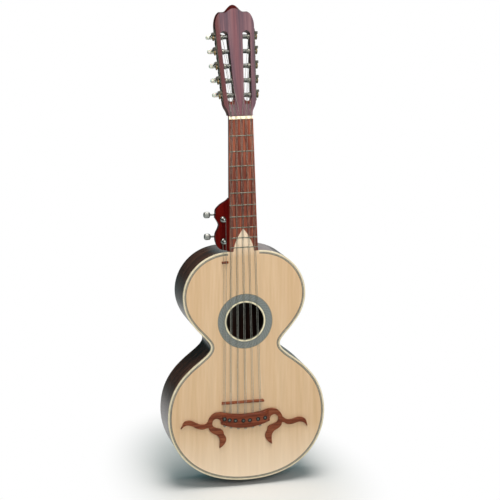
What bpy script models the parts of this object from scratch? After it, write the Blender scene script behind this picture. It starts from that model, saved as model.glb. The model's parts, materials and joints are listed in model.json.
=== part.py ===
"""A Portuguese viola of the beiroa kind, built piece by piece.

X runs across the soundboard, +Y goes from its face into the body, and +Z runs up the neck.
The origin is on the face of the fingerboard, at the lower edge of the nut.
"""
import bpy
import bmesh
from math import cos, pi, radians, sin, tan, atan2, sqrt
from mathutils import Matrix, Vector
from mathutils.geometry import interpolate_bezier

MM = 0.001
GAP = 0.3 * MM

# Scale and frets
SCALE = 530 * MM
SADDLE_AT = 521.3 * MM
FRET_COUNT = 10
FRET_HEIGHT = 0.9 * MM
FRET_WIDTH = 2.2 * MM
FRET_TANG = 0.5 * MM

# Body
BODY_TOP = -240 * MM
BODY_LENGTH = 431.4 * MM
BODY_DEPTH = 86 * MM
JOINT_FLAT = 28 * MM
UPPER_BOUT = 228.5 * MM
UPPER_BOUT_AT = 82 * MM
WAIST = 129 * MM
WAIST_AT = 175 * MM
LOWER_BOUT = 295 * MM
LOWER_BOUT_AT = 308 * MM
SHOULDER_FLATNESS = 51.5 * MM
SHOULDER_RISE = 41.4 * MM
UPPER_FALL = 51.5 * MM
WAIST_ABOVE = 16.4 * MM
WAIST_BELOW = 25.6 * MM
LOWER_RISE = 92.1 * MM
LOWER_FALL = 54 * MM
TAIL_FLATNESS = 107.7 * MM

TOP_THICKNESS = 3.2 * MM
BACK_THICKNESS = 3 * MM
RIB_THICKNESS = 2.3 * MM
LINING_WIDTH = 7.7 * MM
LINING_DEPTH = 14 * MM
BINDING_WIDTH = 3 * MM
PURFLING_WIDTH = 3 * MM
PURFLING_DEPTH = 1.5 * MM
TAB_HALF = 29 * MM

# Sound hole and rosette
HOLE_AT = 130 * MM
HOLE_RADIUS = 34 * MM
HOLE_RING_WIDTH = 4 * MM
ROSETTE_RADIUS = 51 * MM
ROSETTE_DEPTH = 1.4 * MM

# Blocks and bars inside
FOOT_WIDTH = 60 * MM
FOOT_LENGTH = 26 * MM
HEEL_CORE = 24 * MM
TAIL_BLOCK_WIDTH = 52 * MM
TAIL_BLOCK_LENGTH = 15 * MM
BAR_WIDTH = 8 * MM
BAR_HEIGHT = 14 * MM
BAR_END_HEIGHT = 4 * MM
BAR_SCALLOP = 30 * MM
TOP_BARS_AT = (58 * MM, 200 * MM)
BACK_BARS_AT = (82 * MM, 308 * MM)

# Neck and fingerboard
NUT_WIDTH = 44 * MM
NECK_WIDTH_AT_BODY = 53 * MM
NECK_DEPTH_AT_NUT = 20.5 * MM
NECK_DEPTH_AT_BODY = 23 * MM
HEEL_SWEEP = 38 * MM
NECK_SQUARENESS = 3.6
HEEL_SQUARENESS = 1.9
NECK_STATIONS = (-4 * MM, -14 * MM, -60 * MM, -110 * MM, -150 * MM)
NUT_THICKNESS = 5 * MM
NUT_FALL = 1.9 * MM
TONGUE_LENGTH = 41.5 * MM
TONGUE_WIDTH = 38 * MM

# Headstock
HEAD_TILT = radians(13)
HEAD_LENGTH = 202.5 * MM
HEAD_THICKNESS = 18 * MM
VENEER_THICKNESS = 2 * MM
VENEER_DROP = 1.6 * MM
HEAD_WIDTH_LOW = 59 * MM
HEAD_WIDTH_HIGH = 71.2 * MM
FLARE_START = 3 * MM
FLARE_END = 26 * MM
SIDE_END = 163 * MM
SHOULDER_HEIGHT = 189.8 * MM
SHOULDER_HALF = 26 * MM
CREST_HALF = 19 * MM
SHOULDER_BEVEL = 3.3 * MM
CREST_BEVEL = 8 * MM
BEVEL_DEPTH = 7 * MM
RAIL_WIDTH = 7.5 * MM
SLOT_WIDTH = 14 * MM
SLOT_START = 27.5 * MM
SLOT_END = 154 * MM
RAMP_LENGTH = 17 * MM
RAMP_DEPTH = 3 * MM

# Machine heads
ROLLERS_PER_SIDE = 5
FIRST_ROLLER = 38 * MM
ROLLER_SPACING = 26.3 * MM
ROLLER_DEPTH = 7.4 * MM
ROLLER_RADIUS = 4 * MM
JOURNAL_RADIUS = 3.2 * MM
PIN_RADIUS = 2.2 * MM
PIN_LENGTH = 6 * MM
WRAP_THICKNESS = 0.9 * MM
WRAP_WIDTH = 4.4 * MM
WRAP_FROM_EDGE = 10.5 * MM
PLATE_THICKNESS = 1.2 * MM
PLATE_WIDTH = 11.5 * MM
PLATE_OVERHANG = 14 * MM
PLATE_FOOT = 10.5 * MM
GEAR_TEETH = 14
GEAR_PITCH_RADIUS = 4.6 * MM
GEAR_THICKNESS = 2.4 * MM
ADDENDUM = 0.5 * MM
DEDENDUM = 0.7 * MM
WORM_PITCH_RADIUS = 2.4 * MM
WORM_TURNS = 2.25
WORM_SHAFT_RADIUS = 1 * MM
EAR_THICKNESS = 1.2 * MM
EAR_HEIGHT = 4.8 * MM
BUTTON_STEM = 19 * MM
BUTTON_LENGTH = 13 * MM
BUTTON_WIDTH = 14 * MM
BUTTON_THICKNESS = 8 * MM
COLLAR_RADIUS = 1.6 * MM
RUNNING_GAP = 0.35 * MM

# Side peghead of the short course
SIDE_HEAD_THICKNESS = 12 * MM
SIDE_HEAD_TOP = -143 * MM
SIDE_HEAD_BOTTOM = -238.6 * MM
# Its edge from the upper shoulder, past the horn and the waist, to the foot
UPPER_LOBE = ((-29.2, -147.3), (-39.4, -153.1), (-46.3, -159.3), (-49.4, -163.9), (-49.9, -170.5),
              (-50.9, -177.2))
LOWER_LOBE = ((-50.9, -177.2), (-47.4, -183), (-44.2, -190.5), (-45.9, -197.6), (-49.6, -204.6),
              (-51.2, -211.5), (-50.8, -220), (-47.4, -229), (-41.3, -235))
POSTS_AT = (-180.3 * MM, -220.4 * MM)
POST_X = -36.2 * MM
POST_RADIUS = 3 * MM
POST_HEIGHT = 13 * MM
POST_WAIST = 0.6 * MM
BUSHING_RADIUS = 4.4 * MM
BUSHING_FLANGE = 5.6 * MM
BUSHING_FLANGE_HEIGHT = 1 * MM
SHORT_STEM = 16 * MM
SHORT_BUTTON_LENGTH = 12.5 * MM
SHORT_BUTTON_WIDTH = 11.5 * MM
SHORT_BUTTON_THICKNESS = 7 * MM

# Bridge, saddle and the little nut
SADDLE_WIDTH = 5 * MM
SADDLE_CREST = 2.6 * MM
SADDLE_HEIGHT = 7.2 * MM
SADDLE_LEFT = -47.2 * MM
SADDLE_RIGHT = 31.3 * MM
BRIDGE_HEIGHT = 8 * MM
SCROLL_HEIGHT = 4.5 * MM
LITTLE_NUT_AT = 18.6 * MM
LITTLE_NUT_LEFT = -41 * MM
LITTLE_NUT_RIGHT = -29.5 * MM
LITTLE_NUT_THICKNESS = 4 * MM
LITTLE_NUT_HEIGHT = 3.6 * MM

# Strings
STRING_RADIUS = 0.5 * MM
STRING_SIDES = 6
COURSE_SPACING_NUT = 8.8 * MM
COURSE_SPACING_SADDLE = 13.8 * MM
PAIR_SPACING_NUT = 2.2 * MM
PAIR_SPACING_SADDLE = 2.6 * MM
COURSES = 5
SHORT_COURSE_X = -43.2 * MM
SHORT_NUT_X = (-38 * MM, -33.6 * MM)
BRIDGE_HOLE_DEPTH = 4 * MM
STRING_HOLE_RADIUS = 1.1 * MM
BALL_RADIUS = 1.15 * MM
BALL_LENGTH = 3 * MM


def clear_scene():
    for obj in list(bpy.data.objects):
        bpy.data.objects.remove(obj)


def paint(name, colour, roughness, metallic=0.0):
    """A plain finish for one kind of piece."""
    material = bpy.data.materials.new(name)
    material.use_nodes = True
    shader = material.node_tree.nodes["Principled BSDF"]
    shader.inputs["Base Color"].default_value = (*colour, 1.0)
    shader.inputs["Roughness"].default_value = roughness
    shader.inputs["Metallic"].default_value = metallic
    return material


def add_piece(name, bm, finish, place=None):
    """Turns a built shape into a named piece, standing at its own place."""
    bmesh.ops.recalc_face_normals(bm, faces=bm.faces[:])
    mesh = bpy.data.meshes.new(name)
    bm.to_mesh(mesh)
    bm.free()
    piece = bpy.data.objects.new(name, mesh)
    bpy.context.scene.collection.objects.link(piece)
    if place is not None:
        piece.matrix_world = place
    if finish is None:
        piece.hide_render = True
        piece.display_type = "WIRE"
    else:
        mesh.materials.append(finish)
        mesh.shade_smooth()
        mesh.set_sharp_from_angle(angle=radians(35))
    return piece


def shape(piece, tool, operation="DIFFERENCE"):
    """Cuts a piece with a tool, or joins the tool to it."""
    step = piece.modifiers.new(tool.name, "BOOLEAN")
    step.operation = operation
    step.solver = "EXACT"
    step.object = tool


def add_prism(bm, loops, near, far):
    """A plate from depth near to depth far: the first loop is its edge, and the others are holes."""
    edges = []
    for loop in loops:
        corners = [bm.verts.new((x, near, z)) for x, z in loop]
        for first, second in zip(corners, corners[1:] + corners[:1]):
            edges.append(bm.edges.new((first, second)))
    filled = bmesh.ops.triangle_fill(bm, use_beauty=True, edges=edges)
    faces = [item for item in filled["geom"] if isinstance(item, bmesh.types.BMFace)]
    grown = bmesh.ops.extrude_face_region(bm, geom=faces)
    moved = [item for item in grown["geom"] if isinstance(item, bmesh.types.BMVert)]
    bmesh.ops.translate(bm, verts=moved, vec=(0, far - near, 0))


def prism(name, loops, near, far, finish, place=None):
    bm = bmesh.new()
    add_prism(bm, loops, near, far)
    return add_piece(name, bm, finish, place)


def add_loft(bm, rings):
    """A closed skin over rings of points, flat at both ends."""
    rows = [[bm.verts.new(point) for point in ring] for ring in rings]
    for row, following in zip(rows, rows[1:]):
        for i in range(len(row)):
            j = (i + 1) % len(row)
            bm.faces.new((row[i], row[j], following[j], following[i]))
    bm.faces.new(rows[0][::-1])
    bm.faces.new(rows[-1])


def add_box(bm, low, high):
    """A block between two opposite corners."""
    x0, y0, z0 = low
    x1, y1, z1 = high
    add_loft(bm, [[(x, y0, z0), (x, y1, z0), (x, y1, z1), (x, y0, z1)] for x in (x0, x1)])


def circle(radius, sides, centre=(0, 0), turn=0.0):
    angles = [2 * pi * i / sides + turn for i in range(sides)]
    return [(centre[0] + radius * cos(a), centre[1] + radius * sin(a)) for a in angles]


def add_turned(bm, profile, sides):
    """A round piece turned about X. The profile lists (x, radius) from one end to the other."""
    rings = []
    for x, radius in profile:
        rings.append([(x, y, z) for y, z in circle(radius, sides)])
    add_loft(bm, rings)


def curve(start, start_handle, end_handle, end, steps):
    """Points on a Bezier curve, without its last one."""
    knots = [Vector((x, 0, z)) for x, z in (start, start_handle, end_handle, end)]
    return [(p.x, p.z) for p in interpolate_bezier(*knots, steps + 1)][:-1]


def smooth_run(knots, steps=3):
    """Points on a smooth curve through the knots, without its last one."""
    points = []
    for i in range(len(knots) - 1):
        before = knots[max(i - 1, 0)]
        start, end = knots[i], knots[i + 1]
        after = knots[min(i + 2, len(knots) - 1)]
        handle = (start[0] + (end[0] - before[0]) / 6, start[1] + (end[1] - before[1]) / 6)
        other = (end[0] - (after[0] - start[0]) / 6, end[1] - (after[1] - start[1]) / 6)
        points += curve(start, handle, other, end, steps)
    return points


def mm_points(*pairs):
    return [(x * MM, z * MM) for x, z in pairs]


def mirrored(points):
    """A closed outline from its right half, which starts and ends near the centre line."""
    return points + [(-x, z) for x, z in reversed(points) if abs(x) > GAP / 10]


# The body's outline. The right half runs from the neck joint round to the tail.
BODY_BOTTOM = BODY_TOP - BODY_LENGTH
UPPER = (UPPER_BOUT / 2, BODY_TOP - UPPER_BOUT_AT)
WAIST_POINT = (WAIST / 2, BODY_TOP - WAIST_AT)
LOWER = (LOWER_BOUT / 2, BODY_TOP - LOWER_BOUT_AT)


def half_outline():
    flat_end = (JOINT_FLAT, BODY_TOP)
    points = [(0, BODY_TOP), (JOINT_FLAT / 2, BODY_TOP)]
    points += curve(flat_end, (JOINT_FLAT + SHOULDER_FLATNESS, BODY_TOP),
                    (UPPER[0], UPPER[1] + SHOULDER_RISE), UPPER, 11)
    points += curve(UPPER, (UPPER[0], UPPER[1] - UPPER_FALL),
                    (WAIST_POINT[0], WAIST_POINT[1] + WAIST_ABOVE), WAIST_POINT, 8)
    points += curve(WAIST_POINT, (WAIST_POINT[0], WAIST_POINT[1] - WAIST_BELOW),
                    (LOWER[0], LOWER[1] + LOWER_RISE), LOWER, 11)
    points += curve(LOWER, (LOWER[0], LOWER[1] - LOWER_FALL),
                    (TAIL_FLATNESS, BODY_BOTTOM), (0, BODY_BOTTOM), 12)
    return points + [(0, BODY_BOTTOM)]


def inset_outline(inset):
    """The right half of the outline, moved into the body by inset."""
    points = half_outline()
    moved = []
    for i, (x, z) in enumerate(points):
        before = points[max(i - 1, 0)]
        after = points[min(i + 1, len(points) - 1)]
        along = Vector((after[0] - before[0], after[1] - before[1])).normalized()
        if i in (0, len(points) - 1):
            along = Vector((1, 0)) if i == 0 else Vector((-1, 0))
        moved.append((x + along.y * inset, z - along.x * inset))
    return moved


def clipped_outline(inset, start, end=0.0):
    """The inset outline from x = start at the neck joint to x = end at the tail."""
    points = inset_outline(inset)
    middle = len(points) // 2
    kept = []
    for i, (x, z) in enumerate(points):
        if i < middle and x <= start:
            x1, z1 = points[i + 1]
            if x1 > start:
                share = (start - x) / (x1 - x)
                kept.append((start, z + share * (z1 - z)))
        elif i > middle and x < end:
            x0, z0 = points[i - 1]
            if x0 > end:
                share = (x0 - end) / (x0 - x)
                kept.append((end, z0 + share * (z - z0)))
        else:
            kept.append((x, z))
    return kept


def half_width(z, inset):
    """Half the body's inside width at height z."""
    points = inset_outline(inset)
    for (x0, z0), (x1, z1) in zip(points, points[1:]):
        if z1 <= z <= z0 and z0 > z1:
            return x0 + (x1 - x0) * (z0 - z) / (z0 - z1)
    return 0.0


def neck_half(z):
    """Half the neck's width at height z."""
    share = min(max(-z / -BODY_TOP, -0.1), 1.0)
    return (NUT_WIDTH + (NECK_WIDTH_AT_BODY - NUT_WIDTH) * max(share, 0.0)) / 2


def fret_at(number):
    return -SCALE * (1 - 2 ** (-number / 12))


SEAT = TOP_THICKNESS + GAP
BACK_INSIDE = BODY_DEPTH - BACK_THICKNESS - GAP
SPRUCE = paint("spruce", (0.78, 0.60, 0.42), 0.45)
ROSEWOOD = paint("dark rib wood", (0.07, 0.04, 0.03), 0.2)
REDWOOD = paint("red-brown neck wood", (0.22, 0.06, 0.04), 0.35)
VENEER = paint("purple-brown veneer", (0.22, 0.11, 0.11), 0.4)
BOARD = paint("fingerboard wood", (0.25, 0.08, 0.05), 0.4)
BONE = paint("bone", (0.85, 0.78, 0.58), 0.4)
CREAM = paint("cream binding", (0.82, 0.75, 0.58), 0.4)
INLAY = paint("grey inlay", (0.18, 0.21, 0.18), 0.5)
BRIDGEWOOD = paint("bridge wood", (0.19, 0.05, 0.03), 0.45)
PALE_WOOD = paint("inside wood", (0.55, 0.40, 0.26), 0.6)
RED_LACQUER = paint("red lacquer", (0.16, 0.01, 0.008), 0.12)
NICKEL = paint("nickel plate", (0.6, 0.6, 0.6), 0.25, 1.0)
BRASS = paint("brass", (0.6, 0.42, 0.18), 0.3, 1.0)
BUTTON = paint("pearl button", (0.8, 0.78, 0.68), 0.25)
STEEL = paint("string steel", (0.55, 0.55, 0.5), 0.3, 1.0)


def tongue_half(grow):
    """The right side of the soundboard's pointed tongue, from its tip down to the neck joint."""
    base = TONGUE_WIDTH / 2 + grow
    tip = BODY_TOP + TONGUE_LENGTH + 2 * grow
    return curve((0, tip), (base * 0.25, tip - TONGUE_LENGTH * 0.12),
                 (base * 0.95, BODY_TOP + TONGUE_LENGTH * 0.4), (base, BODY_TOP), 8)


def build_soundboard():
    """The plate runs under the purfling to the binding, and its tongue runs up the neck."""
    right = tongue_half(0)
    right.append((TONGUE_WIDTH / 2, BODY_TOP))
    right.append((TAB_HALF, BODY_TOP))
    right += clipped_outline(BINDING_WIDTH + GAP, TAB_HALF)
    hole = circle(HOLE_RADIUS + HOLE_RING_WIDTH + GAP, 36, (0, BODY_TOP - HOLE_AT))
    board = prism("soundboard", [mirrored(right), hole], 0, TOP_THICKNESS, SPRUCE)
    rebate = prism("rosette_rebate", [circle(ROSETTE_RADIUS + GAP, 36, (0, BODY_TOP - HOLE_AT))],
                   -1 * MM, ROSETTE_DEPTH + GAP, None)
    shape(board, rebate)
    groove = strip_loop(BINDING_WIDTH - 1 * MM, BINDING_WIDTH + 2 * GAP + PURFLING_WIDTH, TAB_HALF)
    channel = prism("purfling_channel", [groove], -1 * MM, PURFLING_DEPTH + GAP, None)
    shape(board, channel)


def strip_loop(outer, inner, start):
    """A band that follows the outline right round, open at the neck joint."""
    outside = clipped_outline(outer, start)
    inside = clipped_outline(inner, start)
    left_outside = [(-x, z) for x, z in reversed(outside[:-1])]
    left_inside = [(-x, z) for x, z in inside[:-1]]
    return outside + left_outside + left_inside + inside[::-1]


def build_edges():
    start = TAB_HALF + GAP
    binding = strip_loop(0, BINDING_WIDTH, start)
    prism("edge_binding", [binding], 0, TOP_THICKNESS, CREAM)
    first = BINDING_WIDTH + GAP
    purfling = strip_loop(first, first + PURFLING_WIDTH, start)
    prism("purfling", [purfling], 0, PURFLING_DEPTH, INLAY)


def build_rosette():
    """A stepped ring: its inner part lines the hole, and its outer part is the inlaid band."""
    inner, step, outer = HOLE_RADIUS, HOLE_RADIUS + HOLE_RING_WIDTH, ROSETTE_RADIUS
    profile = [(inner, 0), (outer, 0), (outer, ROSETTE_DEPTH), (step, ROSETTE_DEPTH),
               (step, TOP_THICKNESS), (inner, TOP_THICKNESS)]
    bm = bmesh.new()
    turned = []
    for i in range(36):
        x, z = cos(2 * pi * i / 36), sin(2 * pi * i / 36)
        turned.append([bm.verts.new((r * x, y, BODY_TOP - HOLE_AT + r * z)) for r, y in profile])
    for ring, following in zip(turned, turned[1:] + turned[:1]):
        for j in range(len(profile)):
            k = (j + 1) % len(profile)
            bm.faces.new((ring[j], ring[k], following[k], following[j]))
    add_piece("rosette", bm, INLAY)


def build_back():
    prism("back_plate", [mirrored(half_outline())], BODY_DEPTH - BACK_THICKNESS, BODY_DEPTH, ROSEWOOD)


def build_rib(name, side):
    """A bent rib with the linings glued along both its edges. The linings stop at the blocks."""
    wall = RIB_THICKNESS
    outside = clipped_outline(0, HEEL_CORE / 2 + GAP, GAP / 2)
    lined_from = FOOT_WIDTH / 2 + 2 * GAP
    lined_to = TAIL_BLOCK_WIDTH / 2 + 2 * GAP
    middle = len(outside) // 2
    rings = []
    for i, (x, z) in enumerate(outside):
        before = outside[max(i - 1, 0)]
        after = outside[min(i + 1, len(outside) - 1)]
        along = Vector((after[0] - before[0], after[1] - before[1])).normalized()
        inward = Vector((along.y, -along.x))
        if i in (0, len(outside) - 1):
            inward = Vector((0, -1)) if i == 0 else Vector((0, 1))
        # A ring is lined only where the ring next to it, on the block's side, is already past the block.
        beside = before if i < middle else after
        near_block = beside[0] - wall - LINING_WIDTH < (lined_from if i < middle else lined_to)
        lining = GAP / 3 if near_block else LINING_WIDTH
        slope = LINING_DEPTH * 0.4
        profile = [(0, SEAT), (wall + lining, SEAT), (wall + lining, SEAT + slope),
                   (wall, SEAT + LINING_DEPTH), (wall, BACK_INSIDE - LINING_DEPTH),
                   (wall + lining, BACK_INSIDE - slope), (wall + lining, BACK_INSIDE), (0, BACK_INSIDE)]
        ring = []
        for depth_in, y in profile:
            ring.append((side * (x + inward.x * depth_in), y, z + inward.y * depth_in))
        rings.append(ring)
    bm = bmesh.new()
    add_loft(bm, rings)
    add_piece(name, bm, ROSEWOOD)


def build_tail_block():
    inside = [p for p in inset_outline(RIB_THICKNESS + 2 * GAP) if p[1] < BODY_TOP - LOWER_BOUT_AT]
    half = TAIL_BLOCK_WIDTH / 2
    curved = [p for p in inside if p[0] < half]
    top = BODY_BOTTOM + RIB_THICKNESS + TAIL_BLOCK_LENGTH
    edge = inside[len(inside) - len(curved) - 1]
    share = (edge[0] - half) / (edge[0] - curved[0][0])
    corner = (half, edge[1] + share * (curved[0][1] - edge[1]))
    right = [(0, top), (half, top), corner] + curved
    prism("tail_block", [mirrored(right)], SEAT, BACK_INSIDE, PALE_WOOD)


def build_bar(name, at, on_back):
    """A cross bar, glued on edge and thinned towards both ends."""
    z = BODY_TOP - at
    inset = RIB_THICKNESS + LINING_WIDTH + GAP
    half = min(half_width(z + BAR_WIDTH / 2, inset), half_width(z - BAR_WIDTH / 2, inset)) - GAP
    seat = BACK_INSIDE if on_back else SEAT
    up = -1 if on_back else 1
    profile = [(half, 0), (half, BAR_END_HEIGHT), (half - BAR_SCALLOP, BAR_HEIGHT)]
    right = [(x, seat + up * y) for x, y in profile]
    left = [(-x, y) for x, y in reversed(right)]
    bm = bmesh.new()
    rings = []
    for level in (z - BAR_WIDTH / 2, z + BAR_WIDTH / 2):
        rings.append([(x, y, level) for x, y in right + left])
    add_loft(bm, rings)
    add_piece(name, bm, PALE_WOOD)


def neck_rings(grow, top, bottom):
    """Sections of the neck between two heights, rounded behind, with the heel swept down to the back."""
    rings = []
    stations = [top, *NECK_STATIONS]
    heel_top = BODY_TOP + HEEL_SWEEP
    stations += [heel_top + 8 * MM, heel_top]
    stations += [heel_top - HEEL_SWEEP * share for share in (0.3, 0.55, 0.75, 0.88, 0.96)]
    stations.append(bottom)
    for z in stations:
        share = min(max(z / BODY_TOP, 0.0), 1.0)
        depth = NECK_DEPTH_AT_NUT + (NECK_DEPTH_AT_BODY - NECK_DEPTH_AT_NUT) * share
        sweep = min(max((heel_top - z) / HEEL_SWEEP, 0.0), 1.0)
        depth += (BODY_DEPTH - MM - NECK_DEPTH_AT_BODY) * (1 - sqrt(max(1 - sweep * sweep, 0.0)))
        depth -= SEAT
        width = neck_half(z)
        power = NECK_SQUARENESS + (HEEL_SQUARENESS - NECK_SQUARENESS) * sweep
        ring = [(-width - grow, SEAT - grow, z), (width + grow, SEAT - grow, z)]
        for i in range(1, 12):
            angle = pi * i / 12
            x = abs(cos(angle)) ** (2 / power) * (1 if cos(angle) > 0 else -1)
            y = sin(angle) ** (2 / power)
            ring.append((x * (width + grow), SEAT + y * (depth + grow), z))
        rings.append(ring)
    return rings


def build_neck():
    """Neck, heel and the foot inside the body are one piece, with slots that take the ribs' ends."""
    bm = bmesh.new()
    add_loft(bm, neck_rings(0, NUT_THICKNESS, BODY_TOP + GAP))
    neck = add_piece("neck", bm, REDWOOD)
    inside_top = BODY_TOP - RIB_THICKNESS - 2 * GAP
    half = FOOT_WIDTH / 2
    inside = clipped_outline(RIB_THICKNESS + 2 * GAP, 0)
    curved = [p for p in inside[:12] if p[0] < half]
    edge = inside[len(curved)]
    share = (half - curved[-1][0]) / (edge[0] - curved[-1][0])
    corner = (half, curved[-1][1] + share * (edge[1] - curved[-1][1]))
    low = inside_top - FOOT_LENGTH
    right = [(0, inside_top)] + curved[1:] + [corner, (half, low), (0, low)]
    foot = prism("foot", [mirrored(right)], SEAT, BACK_INSIDE, None)
    bm = bmesh.new()
    core = HEEL_CORE / 2
    add_box(bm, (-core, SEAT, low + FOOT_LENGTH / 2), (core, NECK_DEPTH_AT_BODY, BODY_TOP + 2 * MM))
    tongue = add_piece("heel_core", bm, None)
    shape(neck, tongue, "UNION")
    shape(neck, foot, "UNION")


def build_fingerboard():
    """The board lies level with the soundboard, whose tongue is let into its end."""
    low = BODY_TOP + GAP
    half_low = neck_half(low)
    loop = [(-NUT_WIDTH / 2, -GAP), (NUT_WIDTH / 2, -GAP), (half_low, low), (-half_low, low)]
    board = prism("fingerboard", [loop], 0, TOP_THICKNESS, BOARD)
    bm = bmesh.new()
    for number in range(1, FRET_COUNT + 1):
        z = fret_at(number)
        half = neck_half(z) - GAP
        side, crown = FRET_WIDTH / 2, FRET_WIDTH / 4
        profile = [(FRET_TANG, z - crown), (0, z - side), (-FRET_HEIGHT, z - crown),
                   (-FRET_HEIGHT, z + crown), (0, z + side), (FRET_TANG, z + crown)]
        add_loft(bm, [[(x, y, level) for y, level in profile] for x in (-half, half)])
    frets = add_piece("frets", bm, None)
    shape(board, frets, "UNION")
    slot = mirrored(tongue_half(GAP) + [(TONGUE_WIDTH / 2 + GAP, BODY_TOP - MM), (0, BODY_TOP - MM)])
    shape(board, prism("tongue_slot", [slot], -GAP, TOP_THICKNESS + MM, None))


def build_nut():
    half = NUT_WIDTH / 2
    low, high = 0, NUT_THICKNESS
    crest = STRING_AT_NUT + STRING_RADIUS + GAP
    profile = [(SEAT - GAP, low), (crest, low), (crest + NUT_FALL, high), (SEAT - GAP, high)]
    bm = bmesh.new()
    add_loft(bm, [[(x, y, z) for y, z in profile] for x in (-half, half)])
    add_piece("nut", bm, BONE)


# The headstock leans back from the nut. In its own frame X runs across, Y goes into it and Z runs up it.
HEAD_FRAME = Matrix.Translation((0, VENEER_DROP, NUT_THICKNESS)) @ Matrix.Rotation(-HEAD_TILT, 4, "X")
CORE_FRONT = VENEER_THICKNESS + GAP
CORE_BACK = CORE_FRONT + HEAD_THICKNESS


def side_half(height):
    """Half the head's width along its straight, slightly splayed sides."""
    share = (height - FLARE_END) / (SIDE_END - FLARE_END)
    return (HEAD_WIDTH_LOW + (HEAD_WIDTH_HIGH - HEAD_WIDTH_LOW) * share) / 2


def head_outline(start, bevel=0.0):
    """The head's outline: an ogee above the nut, straight sides, round shoulders and a raised crest.

    With a bevel of 1 it is the edge of the face, which the bevel keeps back from the top.
    """
    nut_half = NUT_WIDTH / 2
    low, high = (side_half(FLARE_END), FLARE_END), (side_half(SIDE_END), SIDE_END)
    height = SHOULDER_HEIGHT - SHOULDER_BEVEL * bevel
    crest = HEAD_LENGTH - CREST_BEVEL * bevel
    shoulder, foot = (SHOULDER_HALF, height), (CREST_HALF, height)
    rise = FLARE_END - FLARE_START
    right = [(nut_half, start)]
    right += curve((nut_half, FLARE_START), (nut_half, FLARE_START + rise * 0.45),
                   (low[0] - 1.5 * MM, low[1] - rise * 0.5), low, 5)
    right += [low]
    corner = height - SIDE_END
    right += curve(high, (high[0] + 0.4 * MM, high[1] + corner * 0.45),
                   (shoulder[0] + corner * 0.17, shoulder[1]), shoulder, 6)
    right += [shoulder]
    right += curve(foot, (CREST_HALF * 0.66, foot[1]), (CREST_HALF * 0.45, crest), (0, crest), 6)
    right += [(0, crest)]
    return right + [(-x, z) for x, z in reversed(right[:-1])]


# A machine's frame: origin where the roller's axis leaves the side of the head, X out along the roller,
# Y into the head's thickness, which is where the worm points, and Z up the side.
SIDE_LEAN = atan2((HEAD_WIDTH_HIGH - HEAD_WIDTH_LOW) / 2, SIDE_END - FLARE_END)


def machine_frame(side, number):
    height = FIRST_ROLLER + number * ROLLER_SPACING
    spot = Vector((side * side_half(height), ROLLER_DEPTH, height))
    lean = Matrix.Rotation(side * SIDE_LEAN, 4, "Y")
    flip = Matrix.Scale(-1, 4, (1, 0, 0)) if side < 0 else Matrix.Identity(4)
    return HEAD_FRAME @ Matrix.Translation(spot) @ lean @ flip


def slot_loop(side):
    """One string slot, parallel to the side of the head and round at both ends."""
    radius = SLOT_WIDTH / 2
    points = []
    for height, up in ((SLOT_END - radius, 1), (SLOT_START + radius, -1)):
        centre = side_half(height) - RAIL_WIDTH - radius
        for i in range(7):
            angle = pi * i / 6 if up > 0 else pi + pi * i / 6
            points.append((side * (centre + radius * cos(angle)), height + radius * sin(angle)))
    return points


def add_roller_bore(bm):
    """The journal's bore through the rail, and the pin's bore into the middle of the head."""
    wide = (JOURNAL_RADIUS + RUNNING_GAP) / cos(pi / 10)
    narrow = (PIN_RADIUS + RUNNING_GAP) / cos(pi / 10)
    step = -RAIL_WIDTH - SLOT_WIDTH / 2
    end = -RAIL_WIDTH - SLOT_WIDTH - PIN_LENGTH - GAP
    add_turned(bm, [(end, narrow), (step, narrow), (step, wide), (MM, wide)], 10)


def build_headstock():
    bm = bmesh.new()
    levels = ((CORE_FRONT, 1), (CORE_FRONT + BEVEL_DEPTH, 0), (CORE_BACK, 0))
    add_loft(bm, [[(x, y, z) for x, z in head_outline(-8 * MM, bevel)] for y, bevel in levels])
    core = add_piece("headstock", bm, REDWOOD, HEAD_FRAME)
    veneer_outline = head_outline(GAP + VENEER_THICKNESS * tan(HEAD_TILT), 1)
    veneer = prism("head_veneer", [veneer_outline], 0, VENEER_THICKNESS, VENEER, HEAD_FRAME)
    bm = bmesh.new()
    add_box(bm, (-NUT_WIDTH, -10 * MM, -40 * MM), (NUT_WIDTH, 60 * MM, NUT_THICKNESS + GAP))
    shape(core, add_piece("neck_joint", bm, None))
    slots = bmesh.new()
    for side in (-1, 1):
        add_prism(slots, [slot_loop(side)], -MM, CORE_BACK + MM)
    slots = add_piece("string_slots", slots, None, HEAD_FRAME)
    ramps = bmesh.new()
    for side in (-1, 1):
        middle = side * (side_half(SLOT_START) - RAIL_WIDTH - SLOT_WIDTH / 2)
        half = SLOT_WIDTH / 2 - MM
        low, high = SLOT_START - RAMP_LENGTH, SLOT_START + SLOT_WIDTH / 2
        fall = RAMP_DEPTH * (high - low) / RAMP_LENGTH
        wedge = [(-MM, low), (0, low), (fall, high), (-MM, high)]
        add_loft(ramps, [[(middle + x, y, z) for y, z in wedge] for x in (-half, half)])
    ramps = add_piece("string_ramps", ramps, None, HEAD_FRAME)
    bores = bmesh.new()
    for side in (-1, 1):
        frames = [machine_frame(side, number) for number in range(ROLLERS_PER_SIDE)]
        add_copies(bores, frames, Matrix.Identity(4), add_roller_bore)
    bores = add_piece("roller_bores", bores, None)
    shape(core, slots)
    shape(core, ramps)
    shape(core, bores)
    shape(veneer, slots)
    shape(veneer, ramps)


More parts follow.
